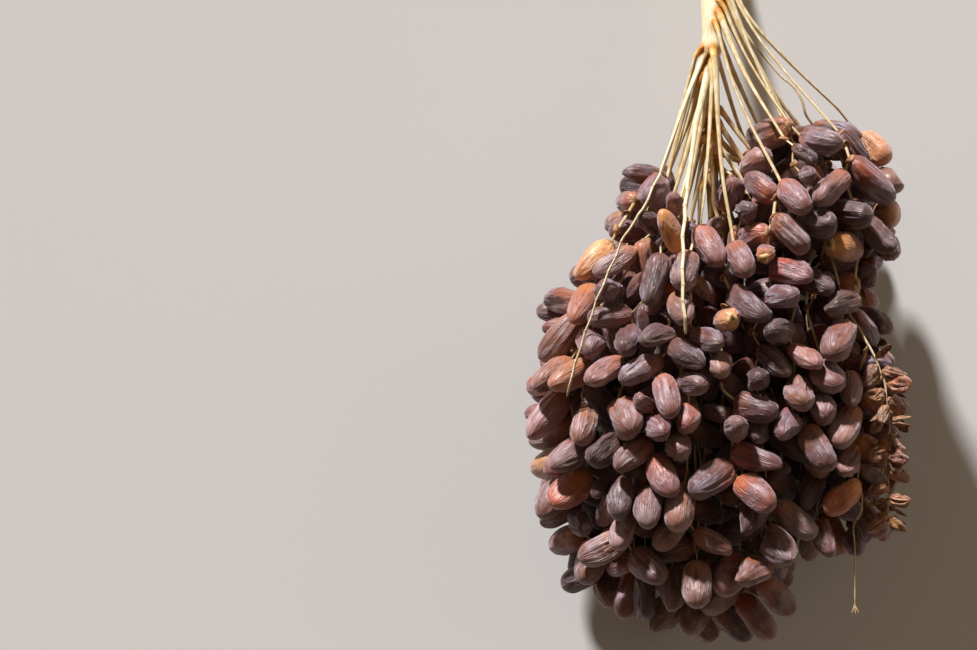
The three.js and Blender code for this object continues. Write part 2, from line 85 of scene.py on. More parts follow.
rings = [  # strands from the outside in; rows is how many levels of the stalk a ring leaves from
    {"name": "outer", "count": 23, "reach": (0.66, 0.84), "leaveY": 0, "rows": 5, "rowStep": 9.5,
     "endY": (-425, -345)},
    {"name": "middle", "count": 12, "reach": (0.42, 0.56), "leaveY": -47, "rows": 4, "rowStep": 10,
     "endY": (-438, -412)},
    {"name": "core", "count": 5, "reach": (0.16, 0.3), "leaveY": -90, "rows": 5, "rowStep": 8,
     "endY": (-452, -442)},
]
fan = {"endSpread": 16, "levelSpread": 2, "angleSpread": 0.3, "rightCosine": 0.15, "rightLift": 57,
       "farRightCosine": 0.5, "farRightRise": 45, "widestLeft": -235, "widestRight": -120}
loneStrands = [  # one strand with small shrivelled fruit at its end, and one whose end is bare
    {"name": "shrivelled_strand", "angle": 0.14, "reach": 0.97, "leaveY": 72, "hangY": -258,
     "endY": -386, "fruit": True},
    {"name": "bare_tipped_strand", "angle": 0.64, "reach": 0.94, "leaveY": 66, "hangY": -345,
     "endY": -444, "fruit": False},
]
strandRule = {"rootRadius": 2.6, "radius": 1.7, "rootSpan": 2.8, "rootGap": 0.3, "kneeOut": 5,
              "kneeDown": 6, "nodeStep": 12.5, "zigzag": 1.6, "lowest": 15}
dateRule = {"length": 40, "radius": 10.8, "spread": 0.12, "girthSpread": 1.4, "leanDeg": (78, 50),
            "leanStray": 16, "turnDeg": 144, "turnStray": 0.5, "outward": 0.6, "smallShare": 0.07,
            "smallScale": 0.62, "core": (0.27, 0.73), "depth": 50, "outsideBy": 4}
shrivelledRule = {"length": 12.5, "radius": 4.1}
settleRule = {"rounds": 120, "listEvery": 10, "slack": 6, "gap": 0.9, "ease": 1.4, "bend": 0.97,
              "lean": 0.84, "step": 4, "stray": (-5, 9), "thinning": (6, 3, 1, 0.05), "keepGap": 0.35,
              "nearNodes": 3}
ruleSeed = 20260
strandRod, dateRod, stalkRod = range(3)  # the kinds of rod


def makeRandom(start):  # plain enough to give the same numbers in any language
    factor, step, span = 1664525, 1013904223, 2 ** 32
    state = [start]

    def draw():
        state[0] = (state[0] * factor + step) % span
        return state[0] / span

    return draw


def tidy(value):  # starting places are kept to a millionth of a millimetre
    return np.floor(value * 1e6 + 0.5) / 1e6


def mix(a, b, t):
    return a + (b - a) * t


def clamp(value, low, high):
    return min(max(value, low), high)


def smooth(t):
    return t * t * (3 - 2 * t)


def dots(a, b):
    return a[..., 0] * b[..., 0] + a[..., 1] * b[..., 1] + a[..., 2] * b[..., 2]


def sizes(a):
    return np.sqrt(dots(a, a))


def units(a):
    return a / sizes(a)[..., None]


def outlineAt(y, column):
    rows = stalkShape["outline"]
    if y <= rows[0][0]:
        return rows[0][column]
    if y >= rows[-1][0]:
        return rows[-1][column]
    above = next(i for i, row in enumerate(rows) if row[0] > y)
    low, high = rows[above - 1], rows[above]
    return mix(low[column], high[column], (y - low[0]) / (high[0] - low[0]))


def stalkHeight(y):
    t = max(0, (y - stalkShape["bendFromY"]) / (stalkTop - stalkShape["bendFromY"]))
    return midHeight - stalkShape["bendDrop"] * t * t


def stalkMiddle(y):
    return np.array([0, y, stalkHeight(y)])


def stalkUp(y):
    span = stalkTop - stalkShape["bendFromY"]
    slope = (-2 * stalkShape["bendDrop"] * max(0, y - stalkShape["bendFromY"])) / (span * span)
    return units(np.array([0, -slope, 1]))


def wayOut(angle, y):
    up = stalkUp(y)
    return np.array([math.cos(angle), up[1] * math.sin(angle), up[2] * math.sin(angle)])


def reachAt(y, onRight):
    (_, bodyY, _), (bodyX, bodyLong, bodyDeep) = bodySpace["middle"], bodySpace["half"]
    (sideX, sideY, _), (sideWide, sideLong, sideDeep) = shoulderSpace["middle"], shoulderSpace["half"]
    along = math.sqrt(max(0, 1 - ((y - bodyY) / bodyLong) ** 2))
    alongShoulder = 1 - ((y - sideY) / sideLong) ** 2
    if not onRight or alongShoulder <= 0:
        return [bodyX * along, bodyDeep * along]
    share = math.sqrt(alongShoulder)
    return [max(bodyX * along, sideX + sideWide * share), max(bodyDeep * along, sideDeep * share)]


def depthIn(space, p):
    away = p - space["middle"]
    return sizes(away) * (1 / max(sizes(away / space["half"]), 0.05) - 1)


def depthOf(p):
    return min(max(depthIn(space, p) for space in spaces), p[2])


def strandLine(strand):  # a knee, a fan outwards, and a run down the bunch
    c, s = math.cos(strand["angle"]), math.sin(strand["angle"])
    leaveY, span = strand["leaveY"], strandRule["rootSpan"]
    onRight = c > fan["rightCosine"]
    fannedY = fan["widestRight"] if onRight else fan["widestLeft"]
    wide, thick = [max(outlineAt(y, n) for y in (leaveY - span, leaveY, leaveY + span)) for n in (1, 2)]
    rootOut = sizes(np.array([wide * c, thick * s, 0])) + strandRule["rootGap"]
    out = wayOut(strand["angle"], leaveY)
    root = stalkMiddle(leaveY) + out * rootOut
    bend = root + out * strandRule["kneeOut"] - (0, strandRule["kneeDown"], 0)
    line = [root, bend]
    kneeOut = rootOut + strandRule["kneeOut"]
    before, run, y = bend, 0, bend[1] - 1
    while y > strand["endY"]:
        t = smooth(clamp((bend[1] - y) / (bend[1] - fannedY), 0, 1))
        wide, deep = reachAt(clamp(y, strand["hangY"], fannedY), onRight)
        x = c * mix(kneeOut, strand["reach"] * wide, t)
        z = mix(stalkHeight(y), midHeight, t) + s * mix(kneeOut, strand["reach"] * deep, t)
        here = np.array([x, y, max(z, strandRule["lowest"])])
        run += sizes(here - before)
        before = here
        if run >= strandRule["nodeStep"]:
            run -= strandRule["nodeStep"]
            line.append(here)
        y -= 1
    return line


def setOutStrands(draw):
    strands = []
    for ring in rings:
        for i in range(ring["count"]):
            angle = ((i + 0.5 + fan["angleSpread"] * (draw() - 0.5)) / ring["count"]) * math.tau
            lift = fan["rightLift"] if ring["name"] == "outer" and math.cos(angle) > fan["rightCosine"] else 0
            rise = fan["farRightRise"] if math.cos(angle) > fan["farRightCosine"] else 0
            reach = mix(*ring["reach"], draw())
            leaveY = ring["leaveY"] + lift - (i % ring["rows"]) * ring["rowStep"]
            leaveY += fan["levelSpread"] * (draw() - 0.5)
            endY = ring["endY"][i % 2] + rise + fan["endSpread"] * (draw() - 0.5)
            strands.append({"name": f"{ring['name']}_strand_{i + 1:02d}", "angle": angle, "reach": reach,
                            "leaveY": leaveY, "hangY": -math.inf, "endY": endY, "fruit": False})
    return strands + loneStrands


def setOutDates(strand, draw):  # each date runs from a node of the strand to its own tip
    line, dates = strandLine(strand), []
    startTurn = draw() * math.tau
    for k in range(2, len(line)):
        run = units(line[min(k + 1, len(line) - 1)] - line[k - 1])
        sideways = units(np.cross(run, (0, 0, 1)))
        across = np.cross(sideways, run)
        turn = startTurn + (k * dateRule["turnDeg"] * math.pi) / 180 + dateRule["turnStray"] * (draw() - 0.5)
        lean = mix(*dateRule["leanDeg"], k / (len(line) - 1)) + dateRule["leanStray"] * (draw() - 0.5)
        lean = (lean * math.pi) / 180
        small = draw() < dateRule["smallShare"]
        scale = (dateRule["smallScale"] if small else 1) * (1 + dateRule["spread"] * 2 * (draw() - 0.5))
        girth = 1 + dateRule["spread"] * dateRule["girthSpread"] * (draw() - 0.5)
        off = tidy(mix(*settleRule["stray"], draw()))
        outward = units(np.array([line[k][0], 0, line[k][2] - midHeight]))
        around = sideways * math.cos(turn) + across * math.sin(turn)

        def place(side, kind):
            aim = run * math.cos(lean) + side * math.sin(lean)
            length = tidy(kind["length"] * scale)
            tip = tidy(line[k] + aim * length)
            radius = tidy(kind["radius"] * scale * girth)
            dates.append({"node": k, "tip": tip, "length": length, "radius": radius, "off": off,
                          "shrivelled": kind is shrivelledRule})

        if line[k][1] < strand["hangY"]:
            if strand["fruit"]:
                place(around, shrivelledRule)
                place(-around, shrivelledRule)
            continue
        depth = depthOf(line[k])
        inThroat = abs(line[k][0] - throat["x"]) < throat["radius"] and line[k][1] > throat["bottomY"]
        if depth < -dateRule["outsideBy"] or depth > dateRule["depth"] or inThroat:
            continue
        place(units(around + outward * dateRule["outward"]), dateRule)
    for date in dates:
        k = date["node"]
        line[k] = line[k] + units(date["tip"] - line[k]) * strandRule["zigzag"]
    return {**strand, "line": tidy(np.array(line)), "dates": dates}


def asRods(strands):  # strands, dates and stalk as points joined by rods
    points, loose, rods = [], [], []

    def addPoint(p, free):
        points.append(p)
        loose.append(1.0 if free else 0.0)
        return len(points) - 1

    for s, strand in enumerate(strands):
        ids = [addPoint(p, k > 1) for k, p in enumerate(strand["line"])]
        strand["ids"] = ids
        for k in range(1, len(ids)):
            radius = strandRule["rootRadius"] if k == 1 else strandRule["radius"]
            rods.append({"kind": strandRod, "a": ids[k - 1], "b": ids[k], "from": 0, "to": 1,
                         "radius": radius, "strand": s, "node": k})
        for date in strand["dates"]:
            rods.append({"kind": dateRod, "a": ids[date["node"]], "b": addPoint(date["tip"], True),
                         "from": dateRule["core"][0], "to": dateRule["core"][1], "strand": s, **date})
    last = None
    for y, wide, _ in stalkShape["outline"][:-2]:
        here = addPoint(tidy(stalkMiddle(y)), False)
        if last is not None:
            rods.append({"kind": stalkRod, "a": last, "b": here, "from": 0, "to": 1, "radius": wide,
                         "strand": -1, "node": 0})
        last = here
    return np.array(points, float), np.array(loose), rods


def asLinks(points, strands, rods):  # lengths to keep: along rods, over bends, and tip to strand
    links = []

    def addLink(a, b, share, atLeast, long=None):
        long = sizes(points[a] - points[b]) if long is None else long
        links.append((a, b, tidy(long * share), atLeast))

    for rod in rods:
        if rod["kind"] != stalkRod:
            addLink(rod["a"], rod["b"], 1, False)
    for strand in strands:
        for a, b in zip(strand["ids"], strand["ids"][2:]):
            addLink(a, b, settleRule["bend"], True)
    for rod in rods:
        if rod["kind"] == dateRod and rod["node"] + 1 < len(strands[rod["strand"]]["ids"]):
            addLink(rod["b"], rod["a"] + 1, settleRule["lean"], True, rod["length"])
    a, b, rest, atLeast = zip(*links)
    return {"a": np.array(a), "b": np.array(b), "rest": np.array(rest), "atLeast": np.array(atLeast)}


def asTable(rods):  # the rods' values in columns, with which pairs of rods have to keep apart
    columns = {name: np.array([rod.get(name, 0) for rod in rods], float)
               for name in ("from", "to", "radius", "off")}
    columns |= {name: np.array([rod[name] for rod in rods]) for name in ("kind", "a", "b", "strand", "node")}
    kind, strand, node = columns["kind"], columns["strand"], columns["node"]
    sameStrand, sameKind = (np.equal.outer(column, column) for column in (strand, kind))
    nearNodes = np.abs(np.subtract.outer(node, node)) < settleRule["nearNodes"]
    atRoot = np.maximum.outer(node, node) < settleRule["nearNodes"]
    oneIsStalk = np.logical_or.outer(kind == stalkRod, kind == stalkRod)
    ownRods = sameStrand & np.where(sameKind, kind[:, None] == strandRod, nearNodes)
    mayTouch = np.where(oneIsStalk, sameKind | atRoot, ownRods)
    columns["apart"] = np.triu(~mayTouch, 1)
    dates = np.flatnonzero(kind == dateRod)
    second = np.r_[False, columns["a"][dates][1:] == columns["a"][dates][:-1]]
    columns["dateBatches"] = [dates[~second], dates[second]]  # two fruit may share a node
    return columns


def nearest(points, rods, i, j):
    def ends(n):
        a, b = points[rods["a"][n]], points[rods["b"][n]]
        start, stop = rods["from"][n][:, None], rods["to"][n][:, None]
        return a * (1 - start) + b * start, a * (1 - stop) + b * stop

    (p0, p1), (q0, q1) = ends(i), ends(j)
    alongP, alongQ, between = p1 - p0, q1 - q0, p0 - q0
    a, e, f = dots(alongP, alongP), dots(alongQ, alongQ), dots(alongQ, between)
    c, b = dots(alongP, between), dots(alongP, alongQ)
    det = a * e - b * b
    with np.errstate(divide="ignore", invalid="ignore"):
        s = np.where(det > 1e-9 * a * e, np.clip((b * f - c * e) / det, 0, 1), 0.5)
    t = (b * s + f) / e
    s = np.where(t < 0, np.clip(-c / a, 0, 1), np.where(t > 1, np.clip((b - c) / a, 0, 1), s))
    t = np.clip(t, 0, 1)
    apart = between + alongP * s[:, None] - alongQ * t[:, None]
    return s, t, apart, sizes(apart)


def lackOf(rods, i, j, gap, distance):
    return rods["radius"][i] + rods["radius"][j] + gap - distance


def listPairs(points, rods):  # pairs of rods near enough to meet before the next list is made
    a, b = points[rods["a"]], points[rods["b"]]
    middle, half = (a + b) * 0.5, sizes(b - a) * 0.5 + rods["radius"]
    squares = 0
    for n in range(3):
        gaps = middle[:, None, n] - middle[None, :, n]
        squares = squares + gaps * gaps
    reach = half[:, None] + half[None, :] + settleRule["slack"]
    i, j = np.nonzero((squares < reach * reach) & rods["apart"])
    distance = nearest(points, rods, i, j)[3]
    near = lackOf(rods, i, j, settleRule["slack"], distance) > 0
    return i[near], j[near]


def pullLinks(points, loose, links):
    a, b = links["a"], links["b"]
    away = points[b] - points[a]
    length = sizes(away)
    pulls = ~(links["atLeast"] & (length >= links["rest"]))
    a, b, away, length = a[pulls], b[pulls], away[pulls], length[pulls]
    share = (length - links["rest"][pulls]) / (length * np.maximum(loose[a] + loose[b], 1))
    return [(a, away * share[:, None]), (b, away * -share[:, None])]


def pushPairs(points, loose, rods, i, j):
    s, t, apart, distance = nearest(points, rods, i, j)
    lack = lackOf(rods, i, j, settleRule["gap"], distance)
    ids = [rods["a"][i], rods["b"][i], rods["a"][j], rods["b"][j]]
    sp = rods["from"][i] + (rods["to"][i] - rods["from"][i]) * s
    sq = rods["from"][j] + (rods["to"][j] - rods["from"][j]) * t
    shares = [1 - sp, sp, 1 - sq, sq]
    weights = [share * loose[n] for share, n in zip(shares, ids)]
    total = sum(weight * share for weight, share in zip(weights, shares))
    kept = (lack > 0) & (distance >= 1e-6) & (total >= 1e-9)
    push = lack[kept] / (distance[kept] * total[kept])
    signs = [push, push, -push, -push]
    return [(n[kept], apart[kept] * (sign * weight[kept])[:, None])
            for n, sign, weight in zip(ids, signs, weights)]


def outOf(space, p, radius):  # how far, and which way, a ball at p has to move to lie inside a space
    half = np.array(space["half"]) - radius[:, None]
    away = p - np.array(space["middle"])
    share = np.abs(away) / half
    root = share * np.sqrt(share)
    slope = np.where(away < 0, -2.5, 2.5) * (root / half)
    steep = np.maximum(sizes(slope), 1e-9)
    return (dots(share, root) - 1) / steep, slope / steep[:, None]


def keepPlace(points, loose, rods, dates):  # towards its space, up off the surface, out of the throat
    a, b, radius = rods["a"][dates], rods["b"][dates], rods["radius"][dates]
    for share in dateRule["core"]:
        p = points[a] * (1 - share) + points[b] * share
        step, way = outOf(spaces[0], p, radius - rods["off"][dates])
        for space in spaces[1:]:
            otherStep, otherWay = outOf(space, p, radius - rods["off"][dates])
            nearer = otherStep < step
            step, way = np.where(nearer, otherStep, step), np.where(nearer[:, None], otherWay, way)
        push = -way * (np.clip(step, 0, settleRule["step"]) * 0.5)[:, None]
        push[:, 2] += np.maximum(radius - p[:, 2], 0)
        beside = p[:, 0] - throat["x"]
        below = np.maximum(0, throat["bottomY"] - p[:, 1])
        apart = np.sqrt(beside * beside + below * below)
        lack = throat["radius"] + radius - apart
        inside = (lack > 0) & (apart > 1e-6)
        push[inside, 0] += beside[inside] / apart[inside] * lack[inside] * 0.5
        push[inside, 1] -= below[inside] / apart[inside] * lack[inside] * 0.5
        total = ((1 - share) * (1 - share) * loose[a] + share * share)[:, None]
        points[a] += push * (1 - share) * loose[a][:, None] / total
        points[b] += push * share / total


def relax(points, loose, rods, links, pairs):
    moves = pullLinks(points, loose, links) + pushPairs(points, loose, rods, *pairs)
    ids, ways = np.concatenate([m[0] for m in moves]), np.concatenate([m[1] for m in moves])
    times = np.bincount(ids, minlength=len(points))
    free = (loose > 0) & (times > 0)
    share = settleRule["ease"] / times[free]
    for n in range(3):
        moved = np.bincount(ids, weights=ways[:, n], minlength=len(points))
        points[free, n] += moved[free] * share
    for dates in rods["dateBatches"]:
        if len(dates):
            keepPlace(points, loose, rods, dates)


def findCrowded(points, rods, limit):  # dates that still overlap by more than the limit, worst first
    i, j = listPairs(points, rods)
    lack = lackOf(rods, i, j, settleRule["keepGap"], nearest(points, rods, i, j)[3])
    isDate = rods["kind"] == dateRod
    kept = (lack > 0) & (isDate[i] | isDate[j])
    i, j, lack = i[kept], j[kept], lack[kept]
    crowded = []
    while len(lack) and lack.max() > limit:
        ids = np.stack([i, j], 1).ravel()
        sums = np.bincount(ids, weights=np.repeat(lack, 2) * isDate[ids], minlength=len(isDate))
        worst = int(np.argmax(sums))
        crowded.append(worst)
        left = (i != worst) & (j != worst)
        i, j, lack = i[left], j[left], lack[left]
    return crowded


def settleAll(strands):
    points, loose, rods = asRods(strands)
    links = asLinks(points, strands, rods)
    for limit in settleRule["thinning"]:
        table = asTable(rods)
        for count in range(settleRule["rounds"]):
            if count % settleRule["listEvery"] == 0:
                pairs = listPairs(points, table)
            relax(points, loose, table, links, pairs)
        crowded = set(findCrowded(points, table, limit))
        tips = [rods[n]["b"] for n in crowded]
        rods = [rod for n, rod in enumerate(rods) if n not in crowded]
        kept = ~(np.isin(links["a"], tips) | np.isin(links["b"], tips))
        links = {name: column[kept] for name, column in links.items()}
    return points, rods


draw = makeRandom(ruleSeed)
strands = [setOutDates(strand, draw) for strand in setOutStrands(draw)]
points, rods = settleAll(strands)
dates = [rod for rod in rods if rod["kind"] == dateRod]
print("grew", len(strands), "strands with", len(dates), "dates")

# From here on everything is made in metres, in the frame.

stalkCut = Vector(frame["record"]["mounts"][0]["pos_m"]) * 1000
shift = np.array(stalkCut) - stalkMiddle(stalkTop)


def placed(p):
    return (np.asarray(p, float) + shift) / 1000


def linear(hexColour):  # sRGB hex to the linear colour that a shader takes
    parts = [int(hexColour[n : n + 2], 16) / 255 for n in (1, 3, 5)]
    return (*(c / 12.92 if c <= 0.04045 else ((c + 0.055) / 1.055) ** 2.4 for c in parts), 1)


def addNode(tree, kind, inputs=(), **settings):  # a node among the inputs stands for its first output
    node = tree.nodes.new(kind)
    for name, value in settings.items():
        setattr(node, name, value)
    for socket, value in inputs.items() if isinstance(inputs, dict) else enumerate(inputs):
        value = value.outputs[0] if isinstance(value, bpy.types.Node) else value
        if isinstance(value, bpy.types.NodeSocket):
            tree.links.new(value, node.inputs[socket])
        else:
            node.inputs[socket].default_value = value
    return node


def makeMesh(name, places, faces, values=None, edges=()):
    mesh = bpy.data.meshes.new(name)
    mesh.from_pydata(np.asarray(places, float).tolist(), list(edges), faces, shade_flat=False)
    for title, (kind, data) in (values or {}).items():
        data = np.asarray(data, np.int32 if kind == "INT" else np.float32)
        field = "vector" if kind == "FLOAT_VECTOR" else "value"
        mesh.attributes.new(title, kind, "POINT").data.foreach_set(field, data.ravel())
    return mesh


def closedLoft(rows, start, end):  # rows of points that run round +Z, from the start's pole to the end's
    count, sides = rows.shape[:2]
    here = np.arange(count * sides).reshape(count, sides)
    after, poles = np.roll(here, -1, 1), np.repeat([[count * sides], [count * sides + 1]], sides, 1)
    quads = np.stack([here[:-1], after[:-1], after[1:], here[1:]], -1).reshape(-1, 4)
    caps = np.stack([poles[0], after[0], here[0], poles[1], here[-1], after[-1]], -1).reshape(-1, 3)
    return np.concatenate([rows.reshape(-1, 3), [start, end]]), quads.tolist() + caps.tolist()


def asObject(name, mesh, *materials):
    mesh.name = name
    made = bpy.data.objects.new(name, mesh)
    bpy.context.scene.collection.objects.link(made)
    for material in materials:
        mesh.materials.append(material)
    return made


def asPiece(name, mesh, slot, nodes, *materials):
    piece = asObject(name, mesh, *materials)
    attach(piece, "root")
    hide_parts(*nodes)
    return piece


def newMaterial(name, constants):
    material = bpy.data.materials.new(name)
    material.use_nodes = True
    shader = material.node_tree.nodes["Principled BSDF"]
    for socket, value in constants.items():
        shader.inputs[socket].default_value = value
    return material, material.node_tree, shader


# Ripe date skin, dried on the palm: a thin leathery skin over flesh that has shrunk under it. Thin folds
# carry a waxy pink-grey bloom, laid on thickest at their crests as a painted highlight where they catch the
# light;
# the valleys are dark, partly by their own colour and partly by painted shade; and the end by the cap is
# redder.
skinPattern = {
    "linesPerMm": 0.3,  # a fine fold about every 2 mm round the date
    "lineStretch": 0.14,  # and seven times as long
    "bloomPerMm": 0.075,
    "softPerMm": 0.13,  # dimples about 8 mm across
    "specksPerMm": 1.1,
    "lineMm": 0.65, "softMm": 1.2,  # how deep each is
    "apart": 900,  # each date has its own part of the pattern
}
skinLooks = {  # the colours of the valleys (their own dark skin with painted shade), skin, bloom (with a painted highlight on the fold crests) and the end by the cap, and the share of bloom and highlight
    "plum": ("#200b07", "#672e1a", "#ae9599", "#a54d20", 0.86),
    "chestnut": ("#280f09", "#74381c", "#b3979b", "#b35a24", 0.76),
    "rose": ("#341510", "#804328", "#bda5a8", "#c2682f", 0.88),
    "mauve": ("#1e0c0b", "#5b2a1c", "#9c8f99", "#8f4220", 0.92),
    "dark": ("#150805", "#46200f", "#7f6570", "#6f3217", 0.62),
    "rusty": ("#4e1d10", "#9c4b28", "#d3a596", "#d5803f", 0.45),
    "caramel": ("#6b3218", "#b87040", "#d9a88a", "#dd9a5e", 0.45),
    "amber": ("#7a3c12", "#c2792f", "#dba365", "#e3a254", 0.25),
    "dried": ("#2c150d", "#834b2c", "#c59b7c", "#a5673a", 0.5),
}


def makeDateSkin(name, look):
    valleyAndShadeColour, skinColour, bloomAndHighlightColour, shoulderColour = (linear(colour) for colour in look[:4])
    bloomAndHighlightShare = look[4]
    material, tree, shader = newMaterial(f"date skin, {name}", {
        "Roughness": 0.5, "IOR": 1.45, "Specular IOR Level": 0.75,
        # The flesh lets a little red through, and the wax on the skin pales its edges.
        "Subsurface Radius": (1, 0.35, 0.12), "Subsurface Scale": 0.004,
        "Subsurface Weight": 0.3 if name in ("amber", "caramel") else 0.08,
        "Sheen Weight": 0.42, "Sheen Roughness": 0.5, "Sheen Tint": linear("#e9dbe4"),
    })
    new = partial(addNode, tree)

    def product(*factors):  # of values that are each brought from one range to another
        total = 1
        for source, *ranges in factors:
            factor = new("ShaderNodeMapRange", (source, *ranges))
            total = new("ShaderNodeMath", (total, factor), operation="MULTIPLY")
        return total

    fold, valley, along, tint = (new("ShaderNodeAttribute", attribute_name=title).outputs["Fac"]
                                 for title in ("fold", "valley", "along", "tint"))
    place = new("ShaderNodeAttribute", attribute_name="skinPlace").outputs["Vector"]
    own = new("ShaderNodeMath", (tint, skinPattern["apart"]), operation="MULTIPLY")
    drawnOut = (1, 1, skinPattern["lineStretch"])
    stretched = new("ShaderNodeVectorMath", (place, drawnOut, own), operation="MULTIPLY_ADD")
    shifted = new("ShaderNodeVectorMath", (place, own), operation="ADD")
    wander, soft, patches, specks = (
        new("ShaderNodeTexNoise", {"Vector": vector, "Scale": skinPattern[f"{scale}PerMm"], "Detail": detail,
                                   "Distortion": distortion})
        for vector, scale, detail, distortion in ((stretched, "lines", 1.5, 0.5), (shifted, "soft", 1.5, 0),
                                                  (shifted, "bloom", 3, 0), (shifted, "specks", 2, 0)))
    shares = [new("ShaderNodeMath", (tint, rounds), operation="MULTIPLY") for rounds in (37, 11, 23)]
    ownLight, ownHue, ownStrength = (new("ShaderNodeMath", (share,), operation="FRACT") for share in shares)

    fromMiddle = new("ShaderNodeMath", (wander, 0.5), operation="SUBTRACT")
    offLine = new("ShaderNodeMath", (fromMiddle,), operation="ABSOLUTE")  # fine folds run where this is 0
    fine = product((offLine, 0.07, 0, 0, 1), (soft, 0.38, 0.58, 0.1, 1), (along, 0.78, 0.98, 1, 0.15))
    fineShare = new("ShaderNodeMath", (fine, 0.6), operation="MULTIPLY")
    raised = new("ShaderNodeMath", (fold, fineShare), operation="MAXIMUM")
    edge = new("ShaderNodeMath", (patches, 0.6, along), operation="MULTIPLY_ADD")
    # painted highlight over the real bloom: it is laid on thickest on the fold crests and fine lines, where
    # they catch the light
    bloom = product((patches, 0.38, 0.6, 0.12, 1), (raised, 0, 0.8, 0.3, 1),
                    (along, 0.08, 0.6, 0.12 * bloomAndHighlightShare, 1.1 * bloomAndHighlightShare))
    colour = skinColour
    # the valley colour is the grooves' own dark skin with painted shade over it, lighter on the crests
    for share, over in ((product((edge, 0.36, 0.85, 0.9, 0)), shoulderColour), (bloom, bloomAndHighlightColour),
                        (product((valley, 0.2, 0.95, 0, 0.75), (raised, 0, 1, 1, 0.5)), valleyAndShadeColour)):
        colour = new("ShaderNodeMix", {0: share, 6: colour, 7: over}, data_type="RGBA").outputs[2]
    finished = new("ShaderNodeHueSaturation", {
        "Hue": product((ownHue, 0, 1, 0.494, 0.516)), "Saturation": product((ownStrength, 0, 1, 0.88, 1.1)),
        "Value": product((ownLight, 0, 1, 0.8, 1.15), (specks, 0.3, 0.7, 0.93, 1.07)), "Color": colour})
    softHeight = new("ShaderNodeMath", (soft, skinPattern["softMm"]), operation="MULTIPLY")
    height = new("ShaderNodeMath", (fine, skinPattern["lineMm"], softHeight), operation="MULTIPLY_ADD")
    bump = new("ShaderNodeBump", {"Strength": 1, "Distance": 0.001, "Height": height})
    for socket, source in (("Base Color", finished), ("Normal", bump),
                           ("Roughness", product((bloom, 0, 0.6, 0.45, 0.65)))):
        tree.links.new(source.outputs[0], shader.inputs[socket])
    return material


# Straw-dry date palm stalk: smooth and pale, with fine fibres along it, and ochre where strands leave it.
strawPattern = {"fibresPerMm": 0.9, "blotchesPerMm": 0.05, "bumpMm": 0.25}
strawLooks = {  # pale, middle and dark colours, how fast the fibres change in x, y and z, and roughness
    "dried date stalk": ("#ebdfbf", "#d9c493", "#b98a36", (1, 0.04, 1), 0.45),  # ivory, with long fibres
    "dried date strand": ("#decea8", "#c0a26c", "#a8742e", (0.3, 0.12, 0.3), 0.42),  # waxy, with a thin shine
    "weathered date strand": ("#e4d6b4", "#ccb485", "#86602f", (0.3, 0.12, 0.3), 0.5),  # bleached
    "ochre knee of a date strand": ("#e3c481", "#d39a3c", "#b57217", (1, 0.3, 1), 0.5),  # golden and fleshy
    "dried calyx of a date": ("#b4875a", "#8d6240", "#5c3a22", (1, 1, 1), 0.65),  # dull brown, like bark: the calyx colour darkened as painted shade for calyxes that face in and empty cups, and the flakes' own colour
    "calyx that faces the sun": ("#e4c492", "#cc9652", "#4f2d14", (1, 1, 1), 0.55),  # gold, with a dark seat that paints shade into the cup's hollow
    "cut end of a date stalk": ("#d9bd8b", "#a98450", "#7d5a30", (1, 1, 1), 0.75),  # coarse and dull
}


def makeStraw(name, look):
    pale, mid, dark = (linear(colour) for colour in look[:3])
    material, tree, shader = newMaterial(name, {"Roughness": look[4], "IOR": 1.45})
    new = partial(addNode, tree)
    place = new("ShaderNodeTexCoord").outputs["Object"]
    # the ochre share; on calyxes it holds the painted shade of the cup's hollow
    darkShare = new("ShaderNodeAttribute", attribute_name="ochre").outputs["Fac"]
    fibres, blotches = (
        new("ShaderNodeTexNoise", {"Scale": strawPattern[f"{scale}PerMm"], "Detail": detail, "Vector": new(
            "ShaderNodeMapping", {"Vector": place, "Scale": [1000 * v for v in stretch]})})
        for scale, detail, stretch in (("fibres", 3, look[3]), ("blotches", 4, (1, 1, 1))))
    blotchShare = new("ShaderNodeMapRange", (blotches, 0.52, 0.75, 0, 0.45))
    stray = new("ShaderNodeMapRange", (blotches, 0.3, 0.7, -0.2, 0.2))
    edge = new("ShaderNodeMath", (darkShare, stray), operation="ADD")
    colour = mid
    for share, over in ((new("ShaderNodeMapRange", (fibres, 0.35, 0.68)), pale), (blotchShare, mid),
                        (new("ShaderNodeMapRange", (edge, 0.25, 0.8)), dark)):
        colour = new("ShaderNodeMix", {0: share, 6: colour, 7: over}, data_type="RGBA").outputs[2]
    bump = new("ShaderNodeBump", {"Strength": 0.7, "Distance": strawPattern["bumpMm"] / 1000,
                                  "Height": fibres})
    tree.links.new(colour, shader.inputs["Base Color"])
    tree.links.new(bump.outputs[0], shader.inputs["Normal"])
    return material


stalkStraw, strandStraw, frontStraw, kneeOchre, shadedCapAndFlake, capGold, cutGrain = (
    makeStraw(name, look) for name, look in strawLooks.items())
skins = {name: makeDateSkin(name, look) for name, look in skinLooks.items()}
print("made", len(bpy.data.materials), "materials")

